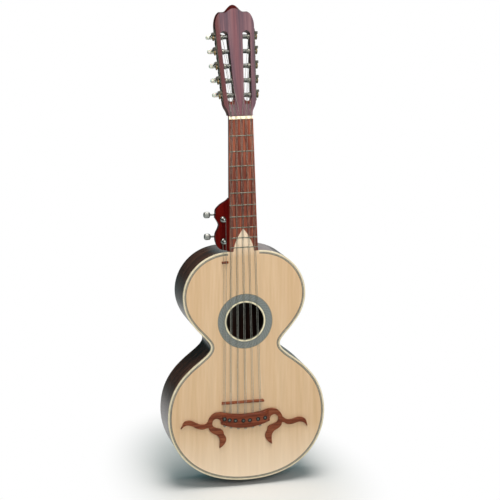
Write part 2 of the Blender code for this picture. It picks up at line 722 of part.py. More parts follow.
# Machine heads: each worm lies above its gear, and its threads run in the gear's teeth.
PLATE_OUTER = GAP + PLATE_THICKNESS
WORM_TIP = WORM_PITCH_RADIUS + ADDENDUM - 0.15 * MM
WORM_CORE = WORM_PITCH_RADIUS - DEDENDUM
GEAR_AT = PLATE_OUTER + WORM_TIP + RUNNING_GAP
CENTRES = GEAR_PITCH_RADIUS + WORM_PITCH_RADIUS
TOOTH_PITCH = 2 * pi * GEAR_PITCH_RADIUS / GEAR_TEETH
WORM_HALF = TOOTH_PITCH * WORM_TURNS / 2 + 0.5 * MM
EAR_IN = WORM_HALF + RUNNING_GAP
EAR_OUT = EAR_IN + EAR_THICKNESS


def add_gear(bm):
    """The gear's teeth are skewed to follow the worm's thread. A gap faces the worm."""
    root = GEAR_PITCH_RADIUS - DEDENDUM
    tip = GEAR_PITCH_RADIUS + ADDENDUM
    twist = TOOTH_PITCH / (2 * pi * WORM_PITCH_RADIUS * GEAR_PITCH_RADIUS)
    step = 2 * pi / GEAR_TEETH
    rings = []
    for offset in (-GEAR_THICKNESS / 2, GEAR_THICKNESS / 2):
        ring = []
        for tooth in range(GEAR_TEETH):
            centre = (tooth + 0.5) * step - twist * offset
            for share, radius in ((-0.27, root), (-0.13, tip), (0.13, tip), (0.27, root)):
                angle = centre + share * step
                ring.append((GEAR_AT + offset, radius * sin(angle), radius * cos(angle)))
        rings.append(ring)
    add_loft(bm, rings)


def add_worm_thread(bm):
    """A right-hand thread about Y. At its middle, a crest faces the gear."""
    sides = 8
    steps = round(sides * WORM_TURNS)
    inner = WORM_CORE * 0.75
    rings = []
    for i in range(steps + 1):
        turn = (i / steps - 0.5) * WORM_TURNS * 2 * pi
        along = TOOTH_PITCH * turn / (2 * pi)
        angle = pi + turn
        ring = []
        for radius, spread in ((inner, -0.24), (WORM_TIP, -0.1), (WORM_TIP, 0.1), (inner, 0.24)):
            y = along + spread * TOOTH_PITCH
            ring.append((GEAR_AT + radius * sin(angle), y, CENTRES + radius * cos(angle)))
        rings.append(ring)
    add_loft(bm, rings)


def add_along_y(bm, profile, sides, centre_x, centre_z, turn=0.0):
    """A round piece turned about an axis parallel to Y. The profile lists (y, radius)."""
    rings = []
    for y, radius in profile:
        rings.append([(centre_x + x, y, centre_z + z) for x, z in circle(radius, sides, turn=turn)])
    add_loft(bm, rings)


def add_button(bm, start, size):
    """A flattened oval grip on the end of the worm's shaft. Its size is out from the head, along and up."""
    out, length, up = size
    rings = []
    for share, swell in ((0, 0.42), (0.08, 0.76), (0.3, 0.98), (0.68, 0.98), (0.92, 0.72), (1, 0.36)):
        ring = []
        for x, z in circle(0.5, 10):
            ring.append((GEAR_AT + x * out * swell, start + length * share, CENTRES + z * up * swell))
        rings.append(ring)
    add_loft(bm, rings)


def add_copies(bm, frames, base, make):
    """The same small shape at each machine, measured in the frame of base."""
    for frame in frames:
        single = bmesh.new()
        make(single)
        bmesh.ops.transform(single, matrix=base.inverted() @ frame, verts=single.verts)
        bmesh.ops.recalc_face_normals(single, faces=single.faces[:])
        mesh = bpy.data.meshes.new("copy")
        single.to_mesh(mesh)
        single.free()
        bm.from_mesh(mesh)


def mirror_if_bass(bm, side):
    if side < 0:
        bmesh.ops.scale(bm, vec=(-1, 1, 1), verts=bm.verts)


def rigid_frame(frame, side):
    """The machine's frame without its mirror, for placing an object."""
    return frame @ Matrix.Scale(-1, 4, (1, 0, 0)) if side < 0 else frame


def build_worm(name, frame, side, stem, stem_radius, size, finish):
    """Worm, shaft and button in one, on the shaft's own axis."""
    place = frame @ Matrix.Translation((GEAR_AT, 0, CENTRES))
    centre = Matrix.Translation((-GEAR_AT, 0, -CENTRES))
    start = EAR_OUT + stem
    bm = bmesh.new()
    profile = [(-EAR_OUT - 0.5 * MM, WORM_SHAFT_RADIUS), (-WORM_HALF, WORM_SHAFT_RADIUS),
               (-WORM_HALF, WORM_CORE), (WORM_HALF, WORM_CORE),
               (WORM_HALF, WORM_SHAFT_RADIUS), (EAR_OUT + RUNNING_GAP, WORM_SHAFT_RADIUS),
               (EAR_OUT + RUNNING_GAP + 0.1 * MM, stem_radius), (start + size[1] / 2, stem_radius)]
    add_along_y(bm, profile, 8, GEAR_AT, CENTRES, pi / 8)
    bmesh.ops.transform(bm, matrix=centre, verts=bm.verts)
    mirror_if_bass(bm, side)
    worm = add_piece(name, bm, finish, rigid_frame(place, side))
    thread = bmesh.new()
    add_worm_thread(thread)
    bmesh.ops.transform(thread, matrix=centre, verts=thread.verts)
    mirror_if_bass(thread, side)
    shape(worm, add_piece(name + "_thread", thread, None, rigid_frame(place, side)), "UNION")
    grip = bmesh.new()
    add_button(grip, start, size)
    bmesh.ops.transform(grip, matrix=centre, verts=grip.verts)
    mirror_if_bass(grip, side)
    shape(worm, add_piece(name + "_button", grip, None, rigid_frame(place, side)), "UNION")


def build_roller(name, frame, side, profile, finish):
    """A roller or post with its gear."""
    bm = bmesh.new()
    add_turned(bm, profile, 8)
    mirror_if_bass(bm, side)
    roller = add_piece(name, bm, finish, rigid_frame(frame, side))
    teeth = bmesh.new()
    add_gear(teeth)
    mirror_if_bass(teeth, side)
    shape(roller, add_piece(name + "_gear", teeth, None, rigid_frame(frame, side)), "UNION")


def roller_profile():
    """Pin, barrel, the string wound on it, journal, and the boss that carries the gear."""
    slot_in = -RAIL_WIDTH - SLOT_WIDTH
    slot_out = -RAIL_WIDTH
    wound = ROLLER_RADIUS + WRAP_THICKNESS
    wrap_in = -WRAP_FROM_EDGE - WRAP_WIDTH / 2
    wrap_out = -WRAP_FROM_EDGE + WRAP_WIDTH / 2
    end = GEAR_AT + GEAR_THICKNESS / 2 + 0.8 * MM
    return [(slot_in - PIN_LENGTH, PIN_RADIUS), (slot_in + RUNNING_GAP, PIN_RADIUS),
            (slot_in + RUNNING_GAP, ROLLER_RADIUS), (wrap_in, ROLLER_RADIUS), (wrap_in, wound),
            (wrap_out, wound), (wrap_out, ROLLER_RADIUS), (slot_out - RUNNING_GAP, ROLLER_RADIUS),
            (slot_out - RUNNING_GAP, JOURNAL_RADIUS), (GEAR_AT, JOURNAL_RADIUS),
            (GEAR_AT, ROLLER_RADIUS / 2), (end, ROLLER_RADIUS / 2)]


def add_ears(bm):
    """Two ears hold the worm's shaft."""
    low, high = CENTRES - EAR_HEIGHT / 2, CENTRES + EAR_HEIGHT / 2
    reach = GEAR_AT + WORM_SHAFT_RADIUS + 1.3 * MM
    for start, end in ((-EAR_OUT, -EAR_IN), (EAR_IN, EAR_OUT)):
        add_box(bm, (PLATE_OUTER - PLATE_THICKNESS / 2, start, low), (reach, end, high))


def add_bearings(bm, radius, start):
    """The holes for one machine: the roller's and the shaft's."""
    wide = (radius + RUNNING_GAP) / cos(pi / 10)
    add_turned(bm, [(start, wide), (PLATE_OUTER + MM, wide)], 10)
    narrow = (WORM_SHAFT_RADIUS + RUNNING_GAP) / cos(pi / 8)
    reach = EAR_OUT + MM
    add_along_y(bm, [(-reach, narrow), (reach, narrow)], 8, GEAR_AT, CENTRES)


def build_plate(name, frames, strip, side):
    """A side plate: a strip with a hole for each roller and ears for each worm."""
    place = rigid_frame(frames[0], side)
    bm = bmesh.new()
    add_box(bm, *strip)
    mirror_if_bass(bm, side)
    plate = add_piece(name, bm, NICKEL, place)
    bm = bmesh.new()
    add_copies(bm, frames, place, add_ears)
    shape(plate, add_piece(name + "_ears", bm, None, place), "UNION")
    bm = bmesh.new()
    add_copies(bm, frames, place, lambda single: add_bearings(single, JOURNAL_RADIUS, -MM))
    shape(plate, add_piece(name + "_bearings", bm, None, place))


def build_machines():
    half = PLATE_WIDTH / 2
    top = (ROLLERS_PER_SIDE - 1) * ROLLER_SPACING + PLATE_OVERHANG
    strip = ((GAP, -half, -PLATE_FOOT), (PLATE_OUTER, half, top))
    for side, word in ((-1, "bass"), (1, "treble")):
        frames = [machine_frame(side, number) for number in range(ROLLERS_PER_SIDE)]
        build_plate("tuner_plate_" + word, frames, strip, side)
        for number, frame in enumerate(frames, 1):
            build_roller(f"roller_{word}_{number}", frame, side, roller_profile(), BRASS)
            build_worm(f"worm_{word}_{number}", frame, side, BUTTON_STEM, COLLAR_RADIUS,
                       (BUTTON_WIDTH, BUTTON_LENGTH, BUTTON_THICKNESS), BUTTON)


# The short course's machines stand in the side peghead. X goes out of its back, Y to the left, Z up.
SIDE_HEAD_BACK = SEAT + SIDE_HEAD_THICKNESS


def post_frame(number):
    axes = Matrix(((0, -1, 0, 0), (1, 0, 0, 0), (0, 0, 1, 0), (0, 0, 0, 1)))
    return Matrix.Translation((POST_X, SIDE_HEAD_BACK, POSTS_AT[number])) @ axes


def side_head_loop():
    """The side peghead's outline: two lobes with a waist between them, run into the neck's side."""
    top, bottom = SIDE_HEAD_TOP, SIDE_HEAD_BOTTOM
    inner = -NUT_WIDTH / 4
    points = [(inner, bottom), (inner, top)]
    points += smooth_run([(-neck_half(top), top)] + mm_points(*UPPER_LOBE), 2)
    points += smooth_run(mm_points(*LOWER_LOBE) + [(-neck_half(bottom), bottom)], 2)
    return points + [(-neck_half(bottom), bottom)]


def build_side_peghead():
    lobe = prism("side_peghead", [side_head_loop()], SEAT, SIDE_HEAD_BACK, RED_LACQUER)
    bm = bmesh.new()
    add_loft(bm, neck_rings(GAP, NUT_THICKNESS, BODY_TOP + GAP))
    shape(lobe, add_piece("neck_seat", bm, None))
    bm = bmesh.new()
    wide = (BUSHING_RADIUS + GAP) / cos(pi / 12)
    for z in POSTS_AT:
        add_along_y(bm, [(SEAT - MM, wide), (SIDE_HEAD_BACK + MM, wide)], 12, POST_X, z)
    shape(lobe, add_piece("bushing_bores", bm, None))
    lobe.modifiers.new("facets", "TRIANGULATE")


def post_profile():
    """Journal, a waisted post in front of the peghead and the boss behind that carries the gear."""
    front = -SIDE_HEAD_THICKNESS - BUSHING_FLANGE_HEIGHT - GAP
    tip = front - POST_HEIGHT
    waist = POST_RADIUS - POST_WAIST
    middle = front - POST_HEIGHT * 0.55
    end = GEAR_AT + GEAR_THICKNESS / 2 + 0.8 * MM
    return [(tip, POST_RADIUS), (middle - 2 * MM, POST_RADIUS), (middle, waist), (middle + 2 * MM, POST_RADIUS),
            (GEAR_AT, POST_RADIUS), (GEAR_AT, ROLLER_RADIUS / 2), (end, ROLLER_RADIUS / 2)]


def add_sleeve(bm):
    """A bushing that runs through the peghead, with its flange on the front."""
    front = -SIDE_HEAD_THICKNESS - GAP
    add_turned(bm, [(front - BUSHING_FLANGE_HEIGHT, BUSHING_FLANGE), (front, BUSHING_FLANGE),
                    (front, BUSHING_RADIUS), (GAP + PLATE_THICKNESS * 0.3, BUSHING_RADIUS)], 10)


def build_short_machines():
    """A plate with ears behind the peghead, and two bushings that run through it to the front."""
    half = PLATE_WIDTH / 2
    frames = [post_frame(0), post_frame(1)]
    low, high = POSTS_AT[1] - POSTS_AT[0] - PLATE_OVERHANG / 2, PLATE_OVERHANG
    bm = bmesh.new()
    add_box(bm, (GAP, -half, low), (PLATE_OUTER, half, high))
    plate = add_piece("side_tuner_frame", bm, NICKEL, frames[0])
    for word, make in (("ears", add_ears), ("sleeves", add_sleeve)):
        bm = bmesh.new()
        add_copies(bm, frames, frames[0], make)
        shape(plate, add_piece("side_" + word, bm, None, frames[0]), "UNION")
    bm = bmesh.new()
    front = -SIDE_HEAD_THICKNESS - 4 * MM
    add_copies(bm, frames, frames[0], lambda single: add_bearings(single, POST_RADIUS, front))
    shape(plate, add_piece("side_bearings", bm, None, frames[0]))
    for number, frame in enumerate(frames, 1):
        build_roller(f"short_post_{number}", frame, 1, post_profile(), NICKEL)
        build_worm(f"short_worm_{number}", frame, 1, SHORT_STEM, WORM_SHAFT_RADIUS,
                   (SHORT_BUTTON_THICKNESS, SHORT_BUTTON_LENGTH, SHORT_BUTTON_WIDTH), NICKEL)


# Bridge: a crescent block with scrolled arms, drawn about its own centre on the strings' line.
BRIDGE_AT = BODY_TOP - 303.7 * MM
BRIDGE_X = -4 * MM
BRIDGE_HALF = 46 * MM
BRIDGE_TOP_DIP = 6.5 * MM
BRIDGE_WIDTH = 26 * MM
BRIDGE_END = 14 * MM
TAIL_TURN = radians(8)
TAIL_PIVOT = (70 * MM, -14 * MM)


def bridge_upper(x):
    """The block's upper edge at x from its own middle, where it dips."""
    return BRIDGE_AT + BRIDGE_TOP_DIP * (x / BRIDGE_HALF) ** 2


def bridge_lower(x):
    share = (x / BRIDGE_HALF) ** 2
    return BRIDGE_AT - BRIDGE_WIDTH + (BRIDGE_WIDTH - BRIDGE_END - BRIDGE_TOP_DIP + 4 * MM) * share


def bridge_side(side):
    """Half the bridge's outline: block, arch, long tail, curled tendril and the round notch inside it."""
    steps = [BRIDGE_HALF * i / 6 for i in range(5)]
    upper = [(x, bridge_upper(x) - BRIDGE_AT) for x in steps]
    lower = [(x, bridge_lower(x) - BRIDGE_AT) for x in steps]
    start = upper.pop()
    arch = [start] + mm_points((40, 5.4), (50, 6.6), (60, 4), (67, -3), (70.5, -11))
    tail = mm_points((70.5, -11), (75.5, -14.6), (83, -16.2), (91, -14.2), (100.5, -10.5), (109, -10.5),
                     (115.5, -14.5), (120, -27))
    under = mm_points((120, -27), (114.5, -21.3), (108.5, -18.6), (100, -19.6), (91, -23.4), (81, -24.8),
                      (73, -21.8))
    outer = mm_points((69.4, -21), (67.8, -26.5), (62.5, -32), (54.5, -36.6), (50.3, -42), (48.9, -49),
                      (49.8, -61.6))
    inner = mm_points((49.8, -61.6), (43, -57), (37.5, -49), (37.3, -42), (41, -35), (42.2, -29.5), (46.5, -25.8),
                      (56, -22.5), (61.5, -18), (62.3, -12), (59.5, -7), (54.5, -5), (49, -7), (46, -12))
    turn = TAIL_TURN if side < 0 else -TAIL_TURN
    points = upper + smooth_run(arch, 2)
    for run in (tail, under):
        for x, z in smooth_run(run, 2):
            reach = min(max((x - TAIL_PIVOT[0]) / (10 * MM), 0.0), 1.0)
            angle = turn * reach
            dx, dz = x - TAIL_PIVOT[0], z - TAIL_PIVOT[1]
            points.append((TAIL_PIVOT[0] + dx * cos(angle) - dz * sin(angle),
                           TAIL_PIVOT[1] + dx * sin(angle) + dz * cos(angle)))
    points += smooth_run(outer, 2)
    points += smooth_run(inner, 2)
    points += [(46 * MM, -12 * MM), (46 * MM, bridge_lower(46 * MM) - BRIDGE_AT)] + lower[::-1]
    return [(BRIDGE_X + side * x, BRIDGE_AT + z) for x, z in points]


def build_bridge():
    """One plate with the scrolled arms, with a thicker block over its middle."""
    right, left = bridge_side(1), bridge_side(-1)
    arms = right + left[-2:0:-1]
    bridge = prism("bridge", [arms], -SCROLL_HEIGHT, -GAP, BRIDGEWOOD)
    inset = 0.5 * MM
    xs = [(BRIDGE_HALF - inset) * i / 5 for i in range(6)]
    half = [(x, bridge_upper(x) - inset) for x in xs] + [(x, bridge_lower(x) + inset) for x in reversed(xs)]
    block = [(BRIDGE_X + x, z) for x, z in mirrored(half)]
    block = prism("bridge_block", [block], -BRIDGE_HEIGHT, -SCROLL_HEIGHT + 1.2 * MM, None)
    shape(bridge, block, "UNION")
    bridge.modifiers.new("facets", "TRIANGULATE")
    bm = bmesh.new()
    for x in string_saddle_xs():
        rings = []
        for z in (bridge_lower(x - BRIDGE_X) - 6 * MM, bridge_upper(x - BRIDGE_X) + 6 * MM):
            rings.append([(x + dx, -BRIDGE_HOLE_DEPTH + dy, z) for dx, dy in circle(STRING_HOLE_RADIUS, 6)])
        add_loft(bm, rings)
    shape(bridge, add_piece("string_holes", bm, None))


def build_saddle():
    """A loose bar that stands on the soundboard under all the courses."""
    z = -SADDLE_AT
    base, crest = SADDLE_WIDTH / 2, SADDLE_CREST / 2
    shoulder = SADDLE_HEIGHT - SADDLE_CREST / 3
    profile = [(-GAP, z - base), (-SADDLE_HEIGHT * 0.5, z - base * 0.8), (-shoulder, z - crest),
               (-SADDLE_HEIGHT, z - crest / 2), (-SADDLE_HEIGHT, z + crest / 2),
               (-shoulder, z + crest), (-SADDLE_HEIGHT * 0.5, z + base * 0.8), (-GAP, z + base)]
    bm = bmesh.new()
    add_loft(bm, [[(x, y, level) for y, level in profile] for x in (SADDLE_LEFT, SADDLE_RIGHT)])
    add_piece("saddle_bar", bm, BRIDGEWOOD)


def build_little_nut():
    z = BODY_TOP - LITTLE_NUT_AT
    half = LITTLE_NUT_THICKNESS / 2
    profile = [(-GAP, z - half), (-LITTLE_NUT_HEIGHT * 0.8, z - half * 0.8), (-LITTLE_NUT_HEIGHT, z - half * 0.3),
               (-LITTLE_NUT_HEIGHT, z + half * 0.3), (-LITTLE_NUT_HEIGHT * 0.8, z + half * 0.8), (-GAP, z + half)]
    bm = bmesh.new()
    add_loft(bm, [[(x, y, level) for y, level in profile] for x in (LITTLE_NUT_LEFT, LITTLE_NUT_RIGHT)])
    add_piece("little_nut", bm, BRIDGEWOOD)


# Strings. Each runs taut from its ball at the bridge, over the saddle and its nut, to the roller or post.
STRING_AT_NUT = -(FRET_HEIGHT + GAP + STRING_RADIUS)
STRING_AT_SADDLE = -(SADDLE_HEIGHT + GAP + STRING_RADIUS)
STRING_AT_LITTLE_NUT = -(LITTLE_NUT_HEIGHT + GAP + STRING_RADIUS)


def pair_xs(spacing, pair):
    """Where the ten long strings lie across, from the bass side."""
    xs = []
    for course in range(COURSES):
        centre = (course - (COURSES - 1) / 2) * spacing
        xs += [centre - pair / 2, centre + pair / 2]
    return xs


def string_saddle_xs():
    half = PAIR_SPACING_SADDLE / 2
    short = [SHORT_COURSE_X - half, SHORT_COURSE_X + half]
    return short + [BRIDGE_X + x for x in pair_xs(COURSE_SPACING_SADDLE, PAIR_SPACING_SADDLE)]


def build_string(name, path):
    """A taut string along its path, with a ball at its lower end. The path lists (point, radius)."""
    rings = []
    points = [Vector(point) for point, radius in path]
    for i, (point, radius) in enumerate(path):
        before = points[max(i - 1, 0)]
        after = points[min(i + 1, len(points) - 1)]
        along = (after - before).normalized()
        across = along.cross(Vector((0, 1, 0))).normalized()
        depth = across.cross(along)
        ring = []
        for dx, dy in circle(radius, STRING_SIDES):
            ring.append(points[i] + across * dx + depth * dy)
        rings.append(ring)
    bm = bmesh.new()
    add_loft(bm, rings)
    add_piece(name, bm, STEEL)


def lower_end(x):
    """Ball, bridge hole and saddle crossing of the string at x."""
    ball_top = bridge_lower(x - BRIDGE_X) - GAP
    mouth = bridge_upper(x - BRIDGE_X) + GAP
    depth = -BRIDGE_HOLE_DEPTH
    return [((x, depth, ball_top - BALL_LENGTH), BALL_RADIUS * 0.6),
            ((x, depth, ball_top - BALL_LENGTH * 0.5), BALL_RADIUS),
            ((x, depth, ball_top - GAP), BALL_RADIUS * 0.6),
            ((x, depth, ball_top), STRING_RADIUS),
            ((x, depth, mouth), STRING_RADIUS),
            ((x, STRING_AT_SADDLE, -SADDLE_AT), STRING_RADIUS)]


def roller_touch(side, number):
    """Where a string meets the winding on the front of its roller."""
    wound = ROLLER_RADIUS + WRAP_THICKNESS + GAP + STRING_RADIUS
    return machine_frame(side, number) @ Vector((-WRAP_FROM_EDGE, -wound, 0))


def build_strings():
    at_nut = pair_xs(COURSE_SPACING_NUT, PAIR_SPACING_NUT)
    at_saddle = string_saddle_xs()[2:]
    count = len(at_nut)
    for i in range(count):
        side = -1 if i < count // 2 else 1
        number = i if side < 0 else count - 1 - i
        end = roller_touch(side, number)
        path = lower_end(at_saddle[i])
        path.append(((at_nut[i], STRING_AT_NUT, 0), STRING_RADIUS))
        path.append((end, STRING_RADIUS))
        build_string(f"string_{i + 1}", path)
    half = PAIR_SPACING_SADDLE / 2
    reach = POST_RADIUS + GAP + STRING_RADIUS
    wrap_depth = SEAT - BUSHING_FLANGE_HEIGHT - POST_HEIGHT * 0.55
    z = BODY_TOP - LITTLE_NUT_AT
    for i, (shift, post, hand) in enumerate(((-half, 1, -1), (half, 0, 1))):
        path = lower_end(SHORT_COURSE_X + shift)
        path.append(((SHORT_NUT_X[i], STRING_AT_LITTLE_NUT, z), STRING_RADIUS))
        path.append(((POST_X + hand * reach, wrap_depth, POSTS_AT[post]), STRING_RADIUS))
        build_string(f"short_string_{i + 1}", path)


clear_scene()
build_soundboard()
build_edges()
build_rosette()
build_back()
build_rib("rib_bass", -1)
build_rib("rib_treble", 1)
build_tail_block()
for index, place in enumerate(TOP_BARS_AT, 1):
    build_bar(f"soundboard_bar_{index}", place, False)
for index, place in enumerate(BACK_BARS_AT, 1):
    build_bar(f"back_bar_{index}", place, True)
build_neck()
build_fingerboard()
build_nut()
build_headstock()
build_machines()
build_side_peghead()
build_short_machines()
build_bridge()
build_saddle()
build_little_nut()
build_strings()
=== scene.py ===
"""The looks of a Portuguese viola of the beiroa kind: its finishes and fine shapes, with light and a camera.

Metres throughout. X runs across the soundboard, +Y goes from its face into the body, and +Z runs up the neck.
"""
import bpy
import bmesh
import json
from math import cos, pi, radians, sin, sqrt, tan
from mathutils import Matrix, Vector
from mathutils.geometry import interpolate_bezier


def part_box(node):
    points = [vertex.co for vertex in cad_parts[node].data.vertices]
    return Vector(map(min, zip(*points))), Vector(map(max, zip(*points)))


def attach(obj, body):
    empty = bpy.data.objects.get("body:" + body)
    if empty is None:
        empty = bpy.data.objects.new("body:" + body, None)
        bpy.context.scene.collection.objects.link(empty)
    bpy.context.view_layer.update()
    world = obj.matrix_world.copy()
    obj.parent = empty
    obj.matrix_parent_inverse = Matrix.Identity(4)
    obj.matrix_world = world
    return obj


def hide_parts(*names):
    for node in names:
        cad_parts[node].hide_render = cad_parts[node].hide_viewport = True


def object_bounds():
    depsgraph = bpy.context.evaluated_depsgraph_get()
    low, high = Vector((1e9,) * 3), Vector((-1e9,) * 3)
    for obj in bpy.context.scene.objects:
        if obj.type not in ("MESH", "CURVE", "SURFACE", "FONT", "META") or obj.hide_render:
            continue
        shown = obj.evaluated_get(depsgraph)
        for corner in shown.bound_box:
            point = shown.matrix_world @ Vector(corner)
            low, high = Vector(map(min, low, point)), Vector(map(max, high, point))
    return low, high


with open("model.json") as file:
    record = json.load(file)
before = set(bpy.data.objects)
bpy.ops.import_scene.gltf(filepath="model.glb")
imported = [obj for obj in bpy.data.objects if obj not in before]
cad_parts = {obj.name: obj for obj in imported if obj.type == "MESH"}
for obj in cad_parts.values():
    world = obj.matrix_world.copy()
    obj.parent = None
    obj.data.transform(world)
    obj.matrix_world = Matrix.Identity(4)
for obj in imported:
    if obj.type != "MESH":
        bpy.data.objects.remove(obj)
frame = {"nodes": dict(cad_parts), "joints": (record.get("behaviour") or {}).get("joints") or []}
solids_low, solids_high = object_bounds()
MM = 0.001

# The studio: a pale matt floor 12 mm under the tail of the hanging instrument, which fades into a white
# surround, a wide soft light above and in front, and a weaker one in front. The camera stands three metres
# off, a little above the instrument and to its bass side.
FLOOR_RADIUS = 60.0
FLOOR_TONE = "#DEDFDD"
BACKDROP_GLOW = 1.0
FLOOR_DROP = 12 * MM
SHADOW_REACH = 0.14
BACKDROP_START = 0.32
SURROUND_TONE = "#A6E2EA"
SURROUND_STRENGTH = 0.26
OVERHEAD_WIDTH = 1.3
OVERHEAD_LENGTH = 1.8
OVERHEAD_POWER = 47
FRONT_WIDTH = 1.2
FRONT_POWER = 26.5
CAMERA_AZIMUTH = radians(12.54)
CAMERA_ELEVATION = radians(10.44)
CAMERA_ROLL = radians(-1.11)
CAMERA_DISTANCE = 2.958
CAMERA_LENS = 117.5
CAMERA_AIM = Vector((0.0116, 0, -0.2384))


def linear(colour):
    """A hex colour as linear values."""
    values = [int(colour[i:i + 2], 16) / 255 for i in (1, 3, 5)]
    return [v / 12.92 if v <= 0.04045 else ((v + 0.055) / 1.055) ** 2.4 for v in values] + [1.0]


def feed(tree, made, inputs):
    """Gives a node's inputs their values or links."""
    for key, value in inputs.items():
        socket = made.inputs[key]
        if isinstance(value, bpy.types.NodeSocket):
            tree.links.new(value, socket)
        else:
            socket.default_value = value


def add(tree, kind, inputs=None, **settings):
    """Adds a node with its settings and inputs, and returns its outputs."""
    made = tree.nodes.new(kind)
    for name, value in settings.items():
        setattr(made, name, value)
    feed(tree, made, inputs or {})
    return made.outputs


def maths(tree, operation, *values):
    return add(tree, "ShaderNodeMath", dict(enumerate(values)), operation=operation)[0]


def ranged(tree, value, start=0.0, end=1.0, low=0.0, high=1.0, **settings):
    """A value brought from start..end to low..high, and held there."""
    return add(tree, "ShaderNodeMapRange", {"Value": value, "From Min": start, "From Max": end,
                                            "To Min": low, "To Max": high}, **settings)[0]


def ramp(tree, factor, *stops):
    """A colour that follows a factor through stops of (position, colour)."""
    made = tree.nodes.new("ShaderNodeValToRGB")
    feed(tree, made, {"Fac": factor})
    elements = made.color_ramp.elements
    for i, (position, colour) in enumerate(stops):
        stop = elements[i] if i < 2 else elements.new(position)
        stop.position = position
        stop.color = linear(colour)
    return made.outputs["Color"]


def noise(tree, where, scale, detail, roughness=0.5, distortion=0.0):
    return add(tree, "ShaderNodeTexNoise", {"Vector": where, "Scale": scale, "Detail": detail,
                                            "Roughness": roughness, "Distortion": distortion})["Fac"]


def bump(tree, height, strength, distance):
    return add(tree, "ShaderNodeBump", {"Height": height, "Strength": strength, "Distance": distance})[0]


def mixed(tree, share, first, second, blend="MIX"):
    return add(tree, "ShaderNodeMix", {0: share, 6: first, 7: second}, data_type="RGBA", blend_type=blend)[2]


def coordinates(tree, kind="Object"):
    return add(tree, "ShaderNodeTexCoord")[kind]


def mapped(tree, where, **changes):
    return add(tree, "ShaderNodeMapping", {"Vector": where, **changes})[0]


def apart(tree, vector):
    """The X, Y and Z of a vector."""
    return add(tree, "ShaderNodeSeparateXYZ", {"Vector": vector})


def joined(tree, x=0.0, y=0.0, z=0.0):
    return add(tree, "ShaderNodeCombineXYZ", {"X": x, "Y": y, "Z": z})[0]


def length(tree, vector):
    return add(tree, "ShaderNodeVectorMath", {0: vector}, operation="LENGTH")["Value"]


def link(thing):
    """Puts an object into the scene."""
    bpy.context.scene.collection.objects.link(thing)
    return thing


floor_finish = bpy.data.materials.new("matt painted floor")
floor_finish.use_nodes = True
tree = floor_finish.node_tree
tree.nodes.clear()
path = add(tree, "ShaderNodeLightPath")
where = coordinates(tree)
mottle = noise(tree, where, 1.4, 3.0)
tone = ramp(tree, mottle, (0.3, "#DBDCDA"), (0.7, FLOOR_TONE))
matt = add(tree, "ShaderNodeBsdfDiffuse", {"Color": tone})[0]
glow = add(tree, "ShaderNodeEmission", {"Color": linear("#FFFFFF"), "Strength": BACKDROP_GLOW})[0]
level = mapped(tree, where, Location=(0, -0.04, 0), Scale=(1.2, 0.6, 0))
reach = length(tree, level)
lit_reach = ranged(tree, reach, start=0.9, end=0.4)
mirrored = maths(tree, "MULTIPLY", path["Is Glossy Ray"], lit_reach)
seen = maths(tree, "MAXIMUM", path["Is Camera Ray"], mirrored)
far_off = ranged(tree, reach, start=SHADOW_REACH, end=BACKDROP_START, interpolation_type="SMOOTHSTEP")
share = maths(tree, "MULTIPLY", seen, far_off)
both = add(tree, "ShaderNodeMixShader", {0: share, 1: matt, 2: glow})[0]
add(tree, "ShaderNodeOutputMaterial", {"Surface": both})

bm = bmesh.new()
bmesh.ops.create_circle(bm, cap_ends=True, segments=96, radius=FLOOR_RADIUS)
bmesh.ops.translate(bm, vec=(0, 0, solids_low.z - FLOOR_DROP), verts=bm.verts)
floor_mesh = bpy.data.meshes.new("floor")
bm.to_mesh(floor_mesh)
bm.free()
floor_mesh.materials.append(floor_finish)
floor = link(bpy.data.objects.new("floor", floor_mesh))

world = bpy.data.worlds.new("pale surround")
bpy.context.scene.world = world
world.use_nodes = True
tree = world.node_tree
tree.nodes.clear()
path = add(tree, "ShaderNodeLightPath")
seen = maths(tree, "MAXIMUM", path["Is Camera Ray"], path["Is Transmission Ray"])
toward = apart(tree, coordinates(tree, "Generated"))
right_side = ranged(tree, toward["X"], start=0.04, end=0.2)
screen = ranged(tree, toward["Y"], start=0.3, end=0.7, high=right_side)
unlit = maths(tree, "MULTIPLY", path["Is Glossy Ray"], 0.7)
open_sky = maths(tree, "SUBTRACT", 1.0, unlit)
mirrored = maths(tree, "MULTIPLY", path["Is Glossy Ray"], screen)
white = maths(tree, "MAXIMUM", seen, mirrored)
dim = maths(tree, "MULTIPLY", open_sky, SURROUND_STRENGTH)
strength = ranged(tree, white, low=dim, high=BACKDROP_GLOW)
tint = mixed(tree, white, linear(SURROUND_TONE), linear("#FFFFFF"))
sky = add(tree, "ShaderNodeBackground", {"Color": tint, "Strength": strength})[0]
add(tree, "ShaderNodeOutputWorld", {"Surface": sky})

for name, width, depth, power, tint, spot, aim in (
        ("overhead_light", OVERHEAD_WIDTH, OVERHEAD_LENGTH, OVERHEAD_POWER, "#FFF6F2",
         (0.0, -0.55, 1.5), (0.0, -0.1, -0.6)),
        ("front_light", FRONT_WIDTH, FRONT_WIDTH, FRONT_POWER, "#FFF5F0",
         (0.0, -2.4, 0.6), (0.0, 0.0, -0.25))):
    lamp = bpy.data.lights.new(name, "AREA")
    lamp.shape = "ELLIPSE"
    lamp.size = width
    lamp.size_y = depth
    lamp.energy = power
    lamp.color = linear(tint)[:3]
    holder = link(bpy.data.objects.new(name, lamp))
    holder.location = spot
    holder.rotation_euler = (Vector(aim) - Vector(spot)).to_track_quat("-Z", "Y").to_euler()

